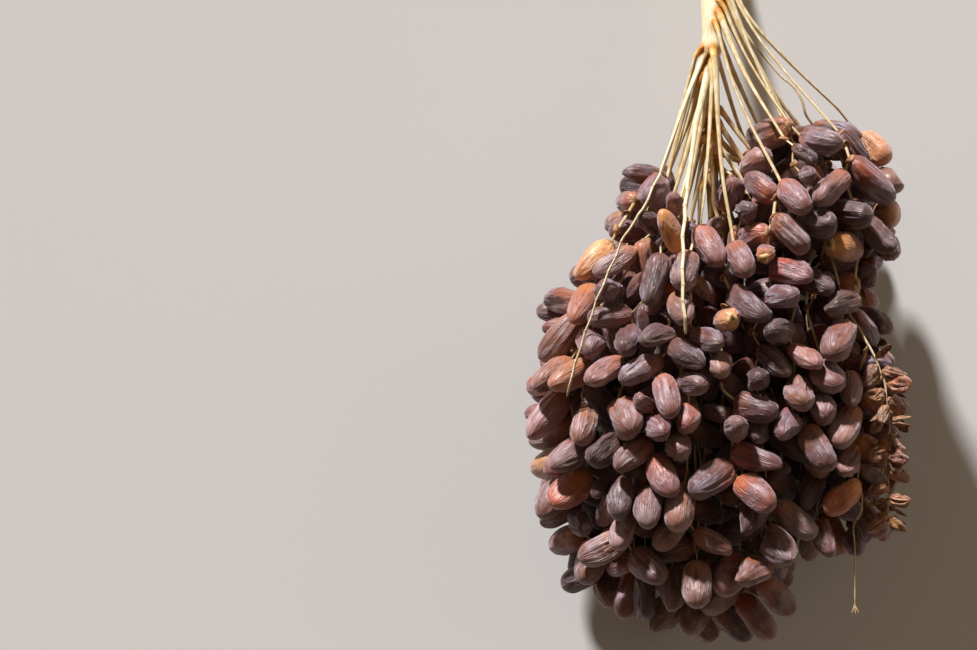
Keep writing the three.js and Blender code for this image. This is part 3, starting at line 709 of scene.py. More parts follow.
# Date shapes: an oblong fruit that has shrunk as it dried, so it has flat sides where its neighbours pressed
# it, long valleys with sharp floors, dents, and thin raised folds of loose skin that meander and join.
dateShape = {"grid": (64, 16), "plainGrid": (16, 10), "swell": 1.1, "pressEdgeMm": 0.35, "pressed": 0.88,
             "lengthen": (1.04, 1.12), "across": (0.88, 1.02), "deep": (0.86, 0.98)}
dateKinds = {
    "folded": {"count": 8, "folds": 0.75, "dents": 0.6, "valleys": 1, "deep": 1.6, "presses": 3,
               "press": (0.72, 0.9), "bend": 1.0, "base": (2.6, 4.4), "tip": (2.1, 3.2)},
    "creased": {"count": 8, "folds": 1.15, "dents": 1.1, "valleys": 2, "deep": 2.6, "presses": 4,
                "press": (0.62, 0.85), "bend": 1.6, "base": (2.8, 5.5), "tip": (2.0, 3.4)},
    "plump": {"count": 4, "folds": 0.15, "dents": 0.35, "valleys": 1, "deep": 0.6, "presses": 2,
              "press": (0.86, 0.96), "bend": 1.2, "base": (2.4, 3.4), "tip": (1.8, 2.3)},
    "dry": {"count": 5, "folds": 2.6, "dents": 3.4, "valleys": 4, "deep": 3.8, "presses": 4,
            "press": (0.6, 0.85), "bend": 3.6, "base": (2.2, 3.2), "tip": (1.8, 2.4)},
    "plain": {"count": 3, "folds": 0, "dents": 0.5, "valleys": 0, "deep": 0, "presses": 2,
              "press": (0.8, 0.92), "bend": 1.0, "base": (2.6, 3.6), "tip": (2.0, 2.8)},
}
shapeSeed = 41


def waves(random, u, t, rounds, drift):  # a wandering pattern of folds that run along the date
    total = 0
    for n in [*rounds, *rounds]:
        phase = n * u + random.uniform(0, math.tau) + math.tau * random.normal(0, drift) * t
        total = total + random.normal() * np.cos(phase)
    return total / total.std()


def ramp(low, high, v):
    return smooth(np.clip((v - low) / (high - low), 0, 1))


def asGrid(x, y, z):  # points from values round the date and along it
    return np.stack(np.broadcast_arrays(x, y, z), -1)


def pressFlat(places, random, kind):  # pushes what stands past a few planes nearly back to them
    middle = places.reshape(-1, 3).mean(0)
    turn = random.uniform(0, math.tau)
    for n in range(kind["presses"]):
        around = turn + n * math.tau / kind["presses"] + random.normal(0, 0.35)
        tilt = random.normal(0, 0.28)
        way = np.array([math.cos(around) * math.cos(tilt), math.sin(around) * math.cos(tilt), math.sin(tilt)])
        reach = (places - middle) @ way
        edge = dateShape["pressEdgeMm"]
        past = edge * np.logaddexp(0, (reach - reach.max() * random.uniform(*kind["press"])) / edge)
        places = places - dateShape["pressed"] * past[..., None] * way
    return places


def makeDateMesh(name, random, kindName):
    kind, (sides, rows) = dateKinds[kindName], dateShape["plainGrid" if kindName == "plain" else "grid"]
    length, girth = dateRule["length"], dateRule["radius"] * dateShape["swell"]
    u = np.linspace(0, math.tau, sides, endpoint=False)[None, :]
    s = -np.cos(np.linspace(0, math.pi, rows + 2)[1:-1])[:, None]
    t = (s + 1) / 2
    widest = s + random.uniform(-0.12, 0.16) * (1 - s * s)
    power = np.where(widest < 0, random.uniform(*kind["base"]), random.uniform(*kind["tip"]))
    profile = np.sqrt(np.clip(1 - np.abs(widest) ** power, 0, 1))
    section = 1 + 0.035 * waves(random, u, t, range(2, 4), 0.25)
    wander, strong = waves(random, u, t, range(4, 8), 0.42), waves(random, u, t, range(1, 3), 0.8)
    strong = 0.15 + 0.85 * ramp(-0.7, 0.9, strong)
    folds = np.exp(-(wander / 0.55) ** 2) * strong
    besideFold = np.exp(-((wander - 1.05) / 0.6) ** 2) * strong  # the skin dips on one side of each fold, and is painted dark there as its shadow
    dents = ramp(0.1, 1.8, waves(random, u, t, range(1, 4), 0.9))
    valleys = np.zeros_like(u * t)
    for _ in range(kind["valleys"]):
        middle = random.uniform(0, math.tau)
        middle = middle + random.normal(0, 0.35) * np.sin(2.6 * (t - random.uniform(0, 1)))
        start, stop = random.uniform(0.02, 0.4), random.uniform(0.6, 1.0)
        across = np.abs((u - middle + math.pi) % math.tau - math.pi)
        line = np.clip(1 - across / random.uniform(0.32, 0.6), 0, 1) ** 1.6
        reach = ramp(start - 0.12, start + 0.16, t) * ramp(stop + 0.12, stop - 0.16, t)
        valleys = np.maximum(valleys, line * reach * random.uniform(0.55, 1))
    fade = ramp(0.0, 0.16, t) * ramp(1.0, 0.74, t)
    radius = girth * profile * section
    bow = kind["bend"] * (1 - s * s - 0.5) * random.uniform(0.3, 1)
    body = asGrid(radius * np.cos(u) + bow, radius * np.sin(u) * random.uniform(0.88, 1), length * t)
    body = pressFlat(body, random, kind)
    inward = kind["dents"] * dents + kind["deep"] * valleys - kind["folds"] * (folds - 0.7 * besideFold)
    body -= (inward * fade)[..., None] * asGrid(np.cos(u), np.sin(u), 0 * t)
    places, faces = closedLoft(body, body[0].mean(0), body[-1].mean(0) + (0, 0, 0.15))
    skinPlace = asGrid(girth * np.cos(u), girth * np.sin(u), length * t)
    return makeMesh(name, places / 1000, faces, {
        "fold": ("FLOAT", np.r_[(folds * fade).ravel(), 0, 0]),
        # dark valleys: the grooves' own colour, and painted shadow on the dipped side of each fold
        "valley": ("FLOAT", np.r_[(np.maximum(valleys, 0.45 * besideFold) * fade).ravel(), 0, 0.3]),
        "along": ("FLOAT", np.r_[(t + 0 * u).ravel(), 0, 1]),
        "skinPlace": ("FLOAT_VECTOR", np.r_[skinPlace.reshape(-1, 3), [[0, 0, 0], [0, 0, length]]]),
    })


def fillBox(title, random, counts, makeShape):  # a collection of shapes, and the numbers of each kind
    box, numbers = bpy.data.collections.new(title), {}  # never linked to the scene, so it isn't shown
    for kindName, count in counts.items():
        first = len(box.objects)
        numbers[kindName] = range(first, first + count)
        for number in numbers[kindName]:
            mesh = makeShape(f"{title}_{number:02d}", random, kindName)
            box.objects.link(bpy.data.objects.new(mesh.name, mesh))
    return box, numbers


def choose(choices, value, rounds):  # one of them, by a value from 0 to 1 that goes many rounds
    return choices[int(value * rounds) % len(choices)]


random = np.random.default_rng(shapeSeed)
kindCounts = {kindName: kind["count"] for kindName, kind in dateKinds.items()}
shapeBox, shapeNumbers = fillBox("shape", random, kindCounts, makeDateMesh)

# Calyx: the small lobed cap, three sepals round, that holds a date to its strand.
capShape = {"sides": 18, "radius": 4.7, "lobe": 0.7, "rise": 2.2, "openRise": 3.3, "stub": 1.5}
capRows = [  # share of the radius, height, and its share of the rise, ragged or not, and darkness, which paints shade into the cup's hollow and darkens the stub below
    (0.3, -1.2, 0, 0, 0.7), (0.62, -0.75, 0, 0, 0.4), (0.9, 0, 0.1, 0, 0.1), (1, 0, 0.55, 1, 0.0),
    (0.93, 0, 0.62, 1, 0.2), (0.6, 0, 0.35, 0, 0.6), (0.25, 0, 0.1, 0, 0.8),
]
flakeShape = {"sides": 12, "rows": 9, "long": 15, "halfWide": 3.4, "thick": 0.3, "curl": 2.2}


def makeCapMesh(name, random, kindName):
    if kindName == "flake":
        return makeFlakeMesh(name, random)
    rise = capShape["rise" if kindName == "closed" else "openRise"]
    u = np.linspace(0, math.tau, capShape["sides"], endpoint=False)
    lobes = capShape["radius"] + capShape["lobe"] * np.cos(3 * u) + random.normal(0, 0.12, len(u))
    uneven = random.normal(0, 0.15, len(u))
    rows = [asGrid(share * lobes * np.cos(u), share * lobes * np.sin(u), low + rise * up + uneven * ragged)
            for share, low, up, ragged, _ in capRows]
    places, faces = closedLoft(np.array(rows), (0, 0, -capShape["stub"]), (0, 0, 0))
    # painted shade in the cup's hollow, darkest at its middle; the stub below is darker too
    darker = np.r_[np.repeat([row[4] for row in capRows], len(u)), 0.8, 0.9]
    return makeMesh(name, places / 1000, faces, {"ochre": ("FLOAT", darker)})


def makeFlakeMesh(name, random):  # a dry husk, curled across and ragged at its sides
    u = np.linspace(0, math.tau, flakeShape["sides"], endpoint=False)
    rows = []
    for t in np.linspace(0.03, 0.97, flakeShape["rows"]):
        wide = flakeShape["halfWide"] * math.sin(math.pi * t ** 0.8) ** 0.6 * random.uniform(0.7, 1.1)
        x = wide * np.cos(u)
        curl = flakeShape["curl"] * ((x / flakeShape["halfWide"]) ** 2 - 0.6 * math.sin(3 * t))
        rows.append(asGrid(x, flakeShape["thick"] * np.sin(u) + curl + random.normal(0, 0.12),
                           flakeShape["long"] * t))
    places, faces = closedLoft(np.array(rows), rows[0].mean(0) - (0, 0, 0.4), rows[-1].mean(0) + (0, 0, 0.6))
    return makeMesh(name, places / 1000, faces, {"ochre": ("FLOAT", random.uniform(0.1, 0.9, len(places)))})


capBox, capNumbers = fillBox("cap", random, {"closed": 3, "open": 1, "flake": 3}, makeCapMesh)


def newTree(name, kinds):
    tree = bpy.data.node_groups.new(name, "GeometryNodeTree")
    sockets = {title: tree.interface.new_socket(name=title, in_out="INPUT", socket_type=f"NodeSocket{kind}")
               for title, kind in kinds.items()}
    tree.interface.new_socket(name="Result", in_out="OUTPUT", socket_type="NodeSocketGeometry")
    given = addNode(tree, "NodeGroupInput").outputs
    return tree, {title: socket.identifier for title, socket in sockets.items()}, given


def endTree(tree, geometry, material):
    finished = addNode(tree, "GeometryNodeSetMaterial", {"Geometry": geometry, "Material": material})
    addNode(tree, "NodeGroupOutput", (finished,))


def makeFruitTree():  # sets a shape from a collection on each point, with its own turn and stretch
    tree, sockets, given = newTree("set out fruit", {"Places": "Geometry", "Shapes": "Collection",
                                                     "Size": "Float", "Skin": "Material"})
    new = partial(addNode, tree)
    shapes = new("GeometryNodeCollectionInfo", {"Collection": given["Shapes"], "Separate Children": True,
                                                "Reset Children": True})
    shape, turn, stretch = (new("GeometryNodeInputNamedAttribute", {"Name": title}, data_type=kind)
                            for title, kind in (("shape", "INT"), ("turn", "QUATERNION"),
                                                ("stretch", "FLOAT_VECTOR")))
    scale = new("ShaderNodeVectorMath", {0: stretch, 3: given["Size"]}, operation="SCALE")
    fruit = new("GeometryNodeInstanceOnPoints", {
        "Points": given["Places"], "Instance": shapes, "Pick Instance": True, "Instance Index": shape,
        "Rotation": turn, "Scale": scale})
    endTree(tree, new("GeometryNodeRealizeInstances", {"Geometry": fruit}), given["Skin"])
    return tree, sockets


def makeLineTree():  # runs a flattened section along each line, as wide as the line says at each point
    tree, sockets, given = newTree("follow lines", {"Lines": "Geometry", "Step": "Float", "Flatness": "Float",
                                                    "Sides": "Int", "Straw": "Material"})
    new = partial(addNode, tree)
    twist, halfWidth = (new("GeometryNodeInputNamedAttribute", {"Name": title}, data_type="FLOAT")
                        for title in ("twist", "halfWidth"))
    curves = new("GeometryNodeMeshToCurve", {"Mesh": given["Lines"]})
    rounded = new("GeometryNodeCurveSplineType", {"Curve": curves}, spline_type="CATMULL_ROM")
    even = new("GeometryNodeResampleCurve", {"Curve": rounded, "Length": given["Step"]}, mode="LENGTH")
    turned = new("GeometryNodeSetCurveTilt", {"Curve": even, "Tilt": twist})
    ring = new("GeometryNodeCurvePrimitiveCircle", {"Resolution": given["Sides"], "Radius": 1})
    section = new("ShaderNodeCombineXYZ", (1, given["Flatness"], 1))
    flat = new("GeometryNodeTransform", {"Geometry": ring, "Scale": section})
    tube = new("GeometryNodeCurveToMesh", {"Curve": turned, "Profile Curve": flat, "Scale": halfWidth,
                                           "Fill Caps": True})
    endTree(tree, tube, given["Straw"])
    return tree, sockets


fruitTree, lineTree = makeFruitTree(), makeLineTree()


def grown(carrierMesh, treeAndSockets, values):  # the tree's result on a mesh, as a plain mesh
    tree, sockets = treeAndSockets
    carrier = asObject("carrier", carrierMesh)
    modifier = carrier.modifiers.new("grow", "NODES")
    modifier.node_group = tree
    for title, value in values.items():
        modifier[sockets[title]] = value
    depsgraph = bpy.context.evaluated_depsgraph_get()
    made = bpy.data.meshes.new_from_object(carrier.evaluated_get(depsgraph), preserve_all_data_layers=True,
                                           depsgraph=depsgraph)
    bpy.data.objects.remove(carrier)
    return made


# Where each date sits: from its seat on the strand to its tip, with its own roll, shape and skin.

for date in dates:
    date["seat"], date["end"] = points[date["a"]], points[date["b"]]
    date["middle"] = (date["seat"] + date["end"]) / 2
    date["depth"] = depthOf(date["middle"])
    date["long"] = sizes(date["end"] - date["seat"])

skinShares = {  # share of the dates, and how much it grows to the left, which ripened paler, and to the top
    "plum": (0.34, 0, 0), "chestnut": (0.22, 0, 0), "rose": (0.13, 2.5, -0.7), "mauve": (0.2, 0, 1.2),
    "dark": (0.1, 0, 2.5), "rusty": (0.02, 2.5, 0),
}
ripening = {"leftWide": 140, "topFrom": -250, "topOver": 90, "leastLean": 0.1}
kindsBySkin = {"plum": ("folded", "creased"), "chestnut": ("folded", "creased"), "rose": ("folded", "folded"),
               "mauve": ("creased", "folded"), "dark": ("creased", "creased"), "rusty": ("folded", "plump"),
               "caramel": ("plump", "folded"), "amber": ("plump", "plump"), "dried": ("dry", "dry")}
pickedFruit = [  # dates that stand out: where they lie from above, in the rule's millimetres, and their skin
    ((136, -131), "amber"), ((125, -78), "caramel"), ((-38, -147), "amber"), ((-104, -202), "rusty"),
    ((-95, -168), "caramel"), ((-114, -259), "rusty"), ((-129, -331), "caramel"), ((-115, -350), "rusty"),
    ((51, -310), "rusty"), ((109, -172), "rusty"), ((4, -216), "rusty"), ((36, -165), "chestnut"),
]
turnedOutFrom = 9  # the last three picked dates sit the other way round, with the cap facing out
shrivelledSwell = 1.35  # the visible shrivelled fruit is fuller than its solid
innerDepth = 34  # dates deeper than this don't show, so they are plainer, and they get the dark skin as painted shade
restHeight = 0.0002  # a date that lies on the floor is pressed flat there
mostInPiece = 95  # dates of the fine shapes, which keeps a piece under 200,000 triangles
dealSeed = 7
pickRounds = {"shape": 977, "cap": 991, "extra": 97}
strandNames = [strand["name"] for strand in strands]


def dealSkins():
    random = np.random.default_rng(dealSeed)
    names = list(skinShares)
    for date in dates:
        left = clamp(-date["middle"][0] / ripening["leftWide"], 0, 1)
        high = clamp((date["middle"][1] - ripening["topFrom"]) / ripening["topOver"], 0, 1)
        weights = np.array([share * max(1 + toLeft * left + toTop * high, ripening["leastLean"])
                            for share, toLeft, toTop in skinShares.values()])
        date["skin"] = names[random.choice(len(names), p=weights / weights.sum())]
        date["tint"] = random.random()
        date["roll"] = random.uniform(0, math.tau)
        date["pick"] = random.random()
        if date["shrivelled"]:
            date["skin"] = "dried"
    for number, ((x, y), skin) in enumerate(pickedFruit):
        def apart(date):  # from the picked place, with dates that lie higher put first
            across = math.hypot(date["middle"][0] - x, date["middle"][1] - y)
            return across - 0.2 * date["middle"][2] + 1000 * date["shrivelled"]

        chosen = min(dates, key=apart)
        chosen["skin"] = skin
        if number >= turnedOutFrom:
            chosen["seat"], chosen["end"], chosen["turnedOut"] = chosen["end"], chosen["seat"], True


def turnOf(date):
    return Vector(date["end"] - date["seat"]).to_track_quat("Z", "X") @ Quaternion((0, 0, 1), date["roll"])


def setOut(name, chosen, box, numbers, stretches, material, slot, lowest=None):
    carrier = makeMesh(name, [placed(date["seat"]) for date in chosen], [], {
        "turn": ("QUATERNION", [list(turnOf(date)) for date in chosen]),
        "stretch": ("FLOAT_VECTOR", stretches), "shape": ("INT", numbers),
        "tint": ("FLOAT", [date["tint"] for date in chosen]),
    })
    mesh = grown(carrier, fruitTree, {"Shapes": box, "Size": 1.0, "Skin": material})
    if lowest is not None:
        places = np.empty(len(mesh.vertices) * 3, np.float32)
        mesh.vertices.foreach_get("co", places)
        places[2::3] = np.maximum(places[2::3], lowest)
        mesh.vertices.foreach_set("co", places)
    return asPiece(name, mesh, slot, sorted({strandNames[date["strand"]] for date in chosen}))


def makeDates(name, chosen, skin, plain=False):
    radii, longs, picks, swells = (np.array(column) for column in zip(*(
        (date["radius"], date["long"], date["pick"], shrivelledSwell if date["shrivelled"] else 1)
        for date in chosen)))
    lengthen, across, deep = (  # each date is flatter or longer by its own share
        np.interp(picks * rounds % 1, (0, 1), dateShape[title])
        for title, rounds in (("lengthen", 61), ("across", 37), ("deep", 83)))
    girths, lengths = swells * radii / dateRule["radius"], swells * longs * lengthen / dateRule["length"]
    numbers = []
    for date in chosen:
        kind = "plain" if plain else kindsBySkin[date["skin"]][0 if date["pick"] < 0.6 else 1]
        numbers.append(choose(shapeNumbers[kind], date["pick"], pickRounds["shape"]))
    stretches = np.stack([girths * across, girths * deep, lengths], 1)
    return setOut(name, chosen, shapeBox, numbers, stretches, skins[skin], "dates", restHeight)


dealSkins()
outer = [date for date in dates if date["depth"] <= innerDepth]
datePieces = []
for skin in skinLooks:
    shown = [date for date in outer if date["skin"] == skin]
    for start in range(0, len(shown), mostInPiece):
        ending = "" if len(shown) <= mostInPiece else f"_{start // mostInPiece + 1}"
        datePieces.append(makeDates(f"{skin}_dates{ending}", shown[start : start + mostInPiece], skin))
# the dates inside take the dark skin as painted shade in the gaps between the outer dates
inner = [date for date in dates if date["depth"] > innerDepth]
datePieces.append(makeDates("inner_dates", inner, "dark", plain=True))
print("set out", len(outer), "dates that show and", len(inner), "inside")

# Strands: flat and broad where they leave the stalk, and thin, round and slightly zigzag among the dates.

strandLook = {
    "widths": [(0, 3.1), (10, 2.9), (35, 2.4), (80, 1.65), (160, 1.3), (300, 1.1), (460, 0.9)],
    "flatness": 0.6, "sides": 8, "stepMm": 2.4, "girth": 1, "nodeGirth": 0.3, "nodePush": 0.5,
    "bendMm": 2.2, "insideStalk": 3.0, "ochreMm": 20, "nodeOchre": 0.75, "tip": 0.6, "twistPerMm": 0.012,
}
kneeLook = {"halves": [(0, 4.3), (3, 4.1), (7, 3.5), (11, 2.9), (15, 2.4), (20, 1.6)],  # run and half width
            "flatness": 0.68, "sides": 12, "stepMm": 1.2, "ochreFrom": 1.15, "ochreMm": 11}
forkLook = {"spreads": (-0.45, 0.1, 0.6), "runs": (-1, 2.5, 5.5), "drops": (0, 0, 0.6),
            "halves": (0.8, 0.6, 0.25), "ochre": (0, 0, 0.2)}

# Strands that have lost their dates lie over the others, pulled taut from the stalk. The one on the right
# still carries small shrivelled fruit and curled flakes.
frontStrands = [  # turn and level of the root, then the way that it takes, seen from above
    {"turn": 2.3, "leaveY": -3, "way": [(-22, -40), (-46, -104), (-59, -130), (-74, -152), (-94, -198),
                                        (-106, -232), (-116, -264), (-119, -276)]},
    {"turn": 1.9, "leaveY": -12, "way": [(-15, -60), (-24, -110), (-29, -150), (-31, -192), (-29, -228)]},
    {"turn": 0.9, "leaveY": 60, "way": [(30, 0), (62, -75), (80, -120), (92, -178), (103, -212), (117, -236),
                                        (128, -262), (133, -300), (131, -330), (134, -356), (132, -380)],
     "hiddenTo": -204, "flakesBelow": -222, "fruitBelow": -250, "thin": 0.75},
]
frontLook = {"walkMm": 2.5, "nodeMm": 12.5, "nodeHalf": 1.2, "clear": 0.6, "zigzag": 0.5, "cleanMm": 100,
             "girth": 1.15, "nodeGirth": 0.35, "nodeOchre": 0.7, "steepest": 0.45, "gapWithin": 34,
             "tip": 0.5, "twistPerMm": 0.004, "clearRun": 200, "rootIn": 1, "kneeMore": 2, "insideStalk": 2,
             "smoothEnd": 4, "stepMm": 1.0, "flatness": 0.6, "sides": 8}
clusterLook = {"firstPoint": 4, "nodeEvery": 3, "along": 0.45, "side": 0.8, "up": 0.3, "stray": 0.4,
               "long": (0.75, 1.25), "girth": (0.85, 1.15), "stemMm": 1.5, "fruitShare": 0.34,
               "flakeShare": 0.35, "seed": 5}
farAbove, farBelow, fullTurn, strandSeed = 400, -999, 6.28, 12


def widthAt(run):
    return np.interp(run, *zip(*strandLook["widths"]))


def runsAlong(places):
    return np.r_[0, np.cumsum(sizes(np.diff(places, axis=0)))]


def surfaceHeight(trees, x, y):  # the top of the dates over a place, in the rule's millimetres
    start = Vector(placed((x, y, farAbove)))
    hits = [tree.ray_cast(start, Vector((0, 0, -1)))[0] for tree in trees]
    return max([hit.z * 1000 - shift[2] for hit in hits if hit], default=0)


def tautOver(runs, low):  # the line of a string pulled over points, as heights at each run
    hull = []
    for n in range(len(runs)):
        while len(hull) > 1:
            a, b = hull[-2], hull[-1]
            if (low[b] - low[a]) * (runs[n] - runs[a]) > (low[n] - low[a]) * (runs[b] - runs[a]):
                break
            hull.pop()
        hull.append(n)
    return np.interp(runs, runs[hull], low[hull])


def frontPlaces(strand, trees):
    out = wayOut(strand["turn"], strand["leaveY"])
    root = stalkMiddle(strand["leaveY"]) + out * (outlineAt(strand["leaveY"], 1) - frontLook["rootIn"])
    bend = root + out * (strandRule["kneeOut"] + frontLook["kneeMore"]) + (0, -strandRule["kneeDown"], 0)
    flat = np.array([bend[:2], *strand["way"]])
    lengths = np.r_[0, np.cumsum(np.hypot(*np.diff(flat, axis=0).T))]
    joints = np.arange(frontLook["cleanMm"], lengths[-1] - frontLook["smoothEnd"], frontLook["nodeMm"])
    half = frontLook["nodeHalf"]
    walk = np.arange(0, lengths[-1], frontLook["walkMm"])
    runs = np.unique(np.r_[walk, joints - half, joints, joints + half])
    x, y = (np.interp(runs, lengths, flat[:, axis]) for axis in (0, 1))
    side = np.interp(runs, joints, frontLook["zigzag"] * (-1.0) ** np.arange(len(joints)), left=0)
    low = np.array([surfaceHeight(trees, *p) for p in zip(x, y)])
    low = low + frontLook["clear"] + widthAt(frontLook["clearRun"])
    low[0] = bend[2]
    if "hiddenTo" in strand:  # it runs between the dates, and comes out at the widest gap past this level
        past = (y < strand["hiddenTo"]) & (y > strand["hiddenTo"] - frontLook["gapWithin"])
        low[1 : np.where(past)[0][low[past].argmin()]] = farBelow
    z = tautOver(runs, low)
    for n in range(1, len(z)):  # the straw is too stiff to drop off the last date that holds it up
        z[n] = max(z[n], z[n - 1] - frontLook["steepest"] * (runs[n] - runs[n - 1]))
    strand["atNode"] = np.r_[0, 0, np.isin(runs, joints)]
    return [root - out * frontLook["insideStalk"], root, *np.stack([x + side, y, z], -1)]


def alongFront(strand, n, sign, random):  # a way off a front strand, to one side and up
    ahead = units(strand["places"][n + 1] - strand["places"][n])
    side = sign * np.cross(ahead, (0, 0, 1))
    way = clusterLook["along"] * ahead + clusterLook["side"] * side + (0, 0, clusterLook["up"])
    return units(way + random.normal(0, clusterLook["stray"], 3))


def hungFrom(seat, way, long, stem, random):
    return {"strand": shrivelled, "seat": seat + stem * way, "end": seat + (long + stem) * way,
            "roll": fullTurn * random.random(), "tint": random.random()}


shrivelled = strandNames.index("shrivelled_strand")
depsgraph = bpy.context.evaluated_depsgraph_get()
dateTrees = [BVHTree.FromObject(piece, depsgraph) for piece in datePieces]
random = np.random.default_rng(clusterLook["seed"])
smallFruit, frontFlakes = [], []
for strand in frontStrands:
    strand["places"] = frontPlaces(strand, dateTrees)
    for n in range(clusterLook["firstPoint"], len(strand["places"]) - 1, clusterLook["nodeEvery"]):
        seat = strand["places"][n]
        if seat[1] < strand.get("flakesBelow", farBelow) and random.random() < clusterLook["flakeShare"]:
            way = alongFront(strand, n, random.choice([-1, 1]), random)
            frontFlakes.append({**hungFrom(seat, way, 1, 0, random), "kind": "flake"})
        if seat[1] < strand.get("fruitBelow", farBelow):
            for sign in (-1, 1):
                if random.random() > clusterLook["fruitShare"]:
                    continue
                long = shrivelledRule["length"] * random.uniform(*clusterLook["long"])
                way = alongFront(strand, n, sign, random)
                hung = hungFrom(seat, way, long, clusterLook["stemMm"], random)
                smallFruit.append({**hung, "pick": random.random(), "long": long,
                                   "radius": shrivelledRule["radius"] * random.uniform(*clusterLook["girth"]),
                                   "shrivelled": True, "skin": "dried"})
makeDates("shrivelled_fruit", smallFruit, "dried")
print("hung", len(smallFruit), "shrivelled fruit and", len(frontFlakes), "flakes on the front strands")

# A cap on each date, empty cups where a date has dropped off, and dry flakes by the shrivelled fruit.

capLook = {"least": 0.8, "most": 1.1, "shrivelled": 0.5}
extraLook = {
    "cupShare": 0.5,  # of the bare nodes near the outside
    "flakeY": (-330, -180), "flakesAtNode": 2, "flakeDrop": (0.35, -0.85, 0.25), "flakeStray": 0.45,
    "open": (0.6, 0.95), "flake": (1.1, 1.45), "seed": 23,  # least and most size
}


def makeCaps(name, chosen, straw):
    sizes = [capLook["shrivelled"] if date["shrivelled"] else
             clamp(date["radius"] / dateRule["radius"], capLook["least"], capLook["most"]) for date in chosen]
    numbers = [choose(capNumbers["closed"], date["pick"], pickRounds["cap"]) for date in chosen]
    setOut(name, chosen, capBox, numbers, np.repeat(np.array(sizes)[:, None], 3, 1), straw, "stalk")


def makeExtras():
    random = np.random.default_rng(extraLook["seed"])
    held = {(date["strand"], date["node"]) for date in dates}
    extras = []

    def onStrand(s, k, way, kind):
        seat, pick = points[strands[s]["ids"][k]], random.random()
        extras.append({"strand": s, "seat": seat, "end": seat + way, "roll": fullTurn * pick, "tint": pick,
                       "kind": kind})

    for s, strand in enumerate(strands):
        for date in strand["dates"]:
            k, seat = date["node"], points[strand["ids"][date["node"]]]
            bare = (s, k) not in held and not date["shrivelled"] and depthOf(seat) <= innerDepth
            if bare and random.random() < extraLook["cupShare"]:
                onStrand(s, k, units(date["tip"] - strand["line"][k]), "open")
        if s == shrivelled:
            for k, n in enumerate(strand["ids"]):
                if extraLook["flakeY"][0] < points[n][1] < extraLook["flakeY"][1]:
                    for _ in range(extraLook["flakesAtNode"]):
                        stray = random.normal(0, extraLook["flakeStray"], 3)
                        onStrand(s, k, units(np.array(extraLook["flakeDrop"]) + stray), "flake")
    return extras + frontFlakes


# the calyxes that face in, and those of the shrivelled fruit, take the dulled calyx colour as painted shade;
# those that face out keep the gold
makeCaps("calyxes", [date for date in outer if not date.get("turnedOut")] + smallFruit, shadedCapAndFlake)
makeCaps("calyxes_facing_out", [date for date in outer if date.get("turnedOut")], capGold)
extras = makeExtras()
extraShapes = [choose(capNumbers[e["kind"]], e["tint"], pickRounds["extra"]) for e in extras]
extraSizes = np.array([[mix(*extraLook[e["kind"]], e["tint"])] * 3 for e in extras])
# the empty cups take the dulled calyx colour as painted shade; the flakes take it as their own dry brown
setOut("empty_cups_and_flakes", extras, capBox, extraShapes, extraSizes, shadedCapAndFlake, "stalk")
print("added", len(extras), "empty cups and flakes")


def addLine(lines, places, halves, ochre, twist):
    first = len(lines["places"])
    lines["places"] += [placed(p) for p in places]
    lines["edges"] += [(first + n, first + n + 1) for n in range(len(places) - 1)]
    lines["halfWidth"] += [half / 1000 for half in halves]
    lines["ochre"] += list(ochre)
    lines["twist"] += list(twist)


def addStrand(lines, look, places, atNodes, turn, twistPerMm, thin=1):  # its root and nodes are ochre
    runs = runsAlong(places)
    halves = widthAt(runs) * (look["girth"] + look["nodeGirth"] * atNodes) * thin
    halves[-1] *= look["tip"]
    ochre = np.maximum(np.clip(1 - runs / strandLook["ochreMm"], 0, 1), look["nodeOchre"] * atNodes)
    addLine(lines, places, halves, ochre, turn + runs * twistPerMm)
    return runs


def layLines(name, lines, look, straw, nodes):
    values = {title: ("FLOAT", lines[title]) for title in ("halfWidth", "ochre", "twist")}
    carrier = makeMesh(name, lines["places"], [], values, lines["edges"])
    mesh = grown(carrier, lineTree, {"Step": look["stepMm"] / 1000, "Flatness": look["flatness"],
                                     "Sides": look["sides"], "Straw": straw})
    return asPiece(name, mesh, "stalk", nodes)


def nearTo(a, b, mm):  # a point on the way from a to b
    return a + (b - a) * min(0.45, mm / sizes(b - a))


def strandPath(nodes, tips):  # the nodes that carry dates stand out a little, with short bends there
    places, atNodes, bend = [], [], strandLook["bendMm"]
    for n, node in enumerate(nodes):
        if n in tips and 0 < n < len(nodes) - 1:
            pushed = node + units(tips[n] - node) * strandLook["nodePush"]
            places += [nearTo(node, nodes[n - 1], bend), pushed, nearTo(node, nodes[n + 1], bend)]
            atNodes += [0, 1, 0]
        else:
            places.append(node)
            atNodes.append(0)
    return places, atNodes


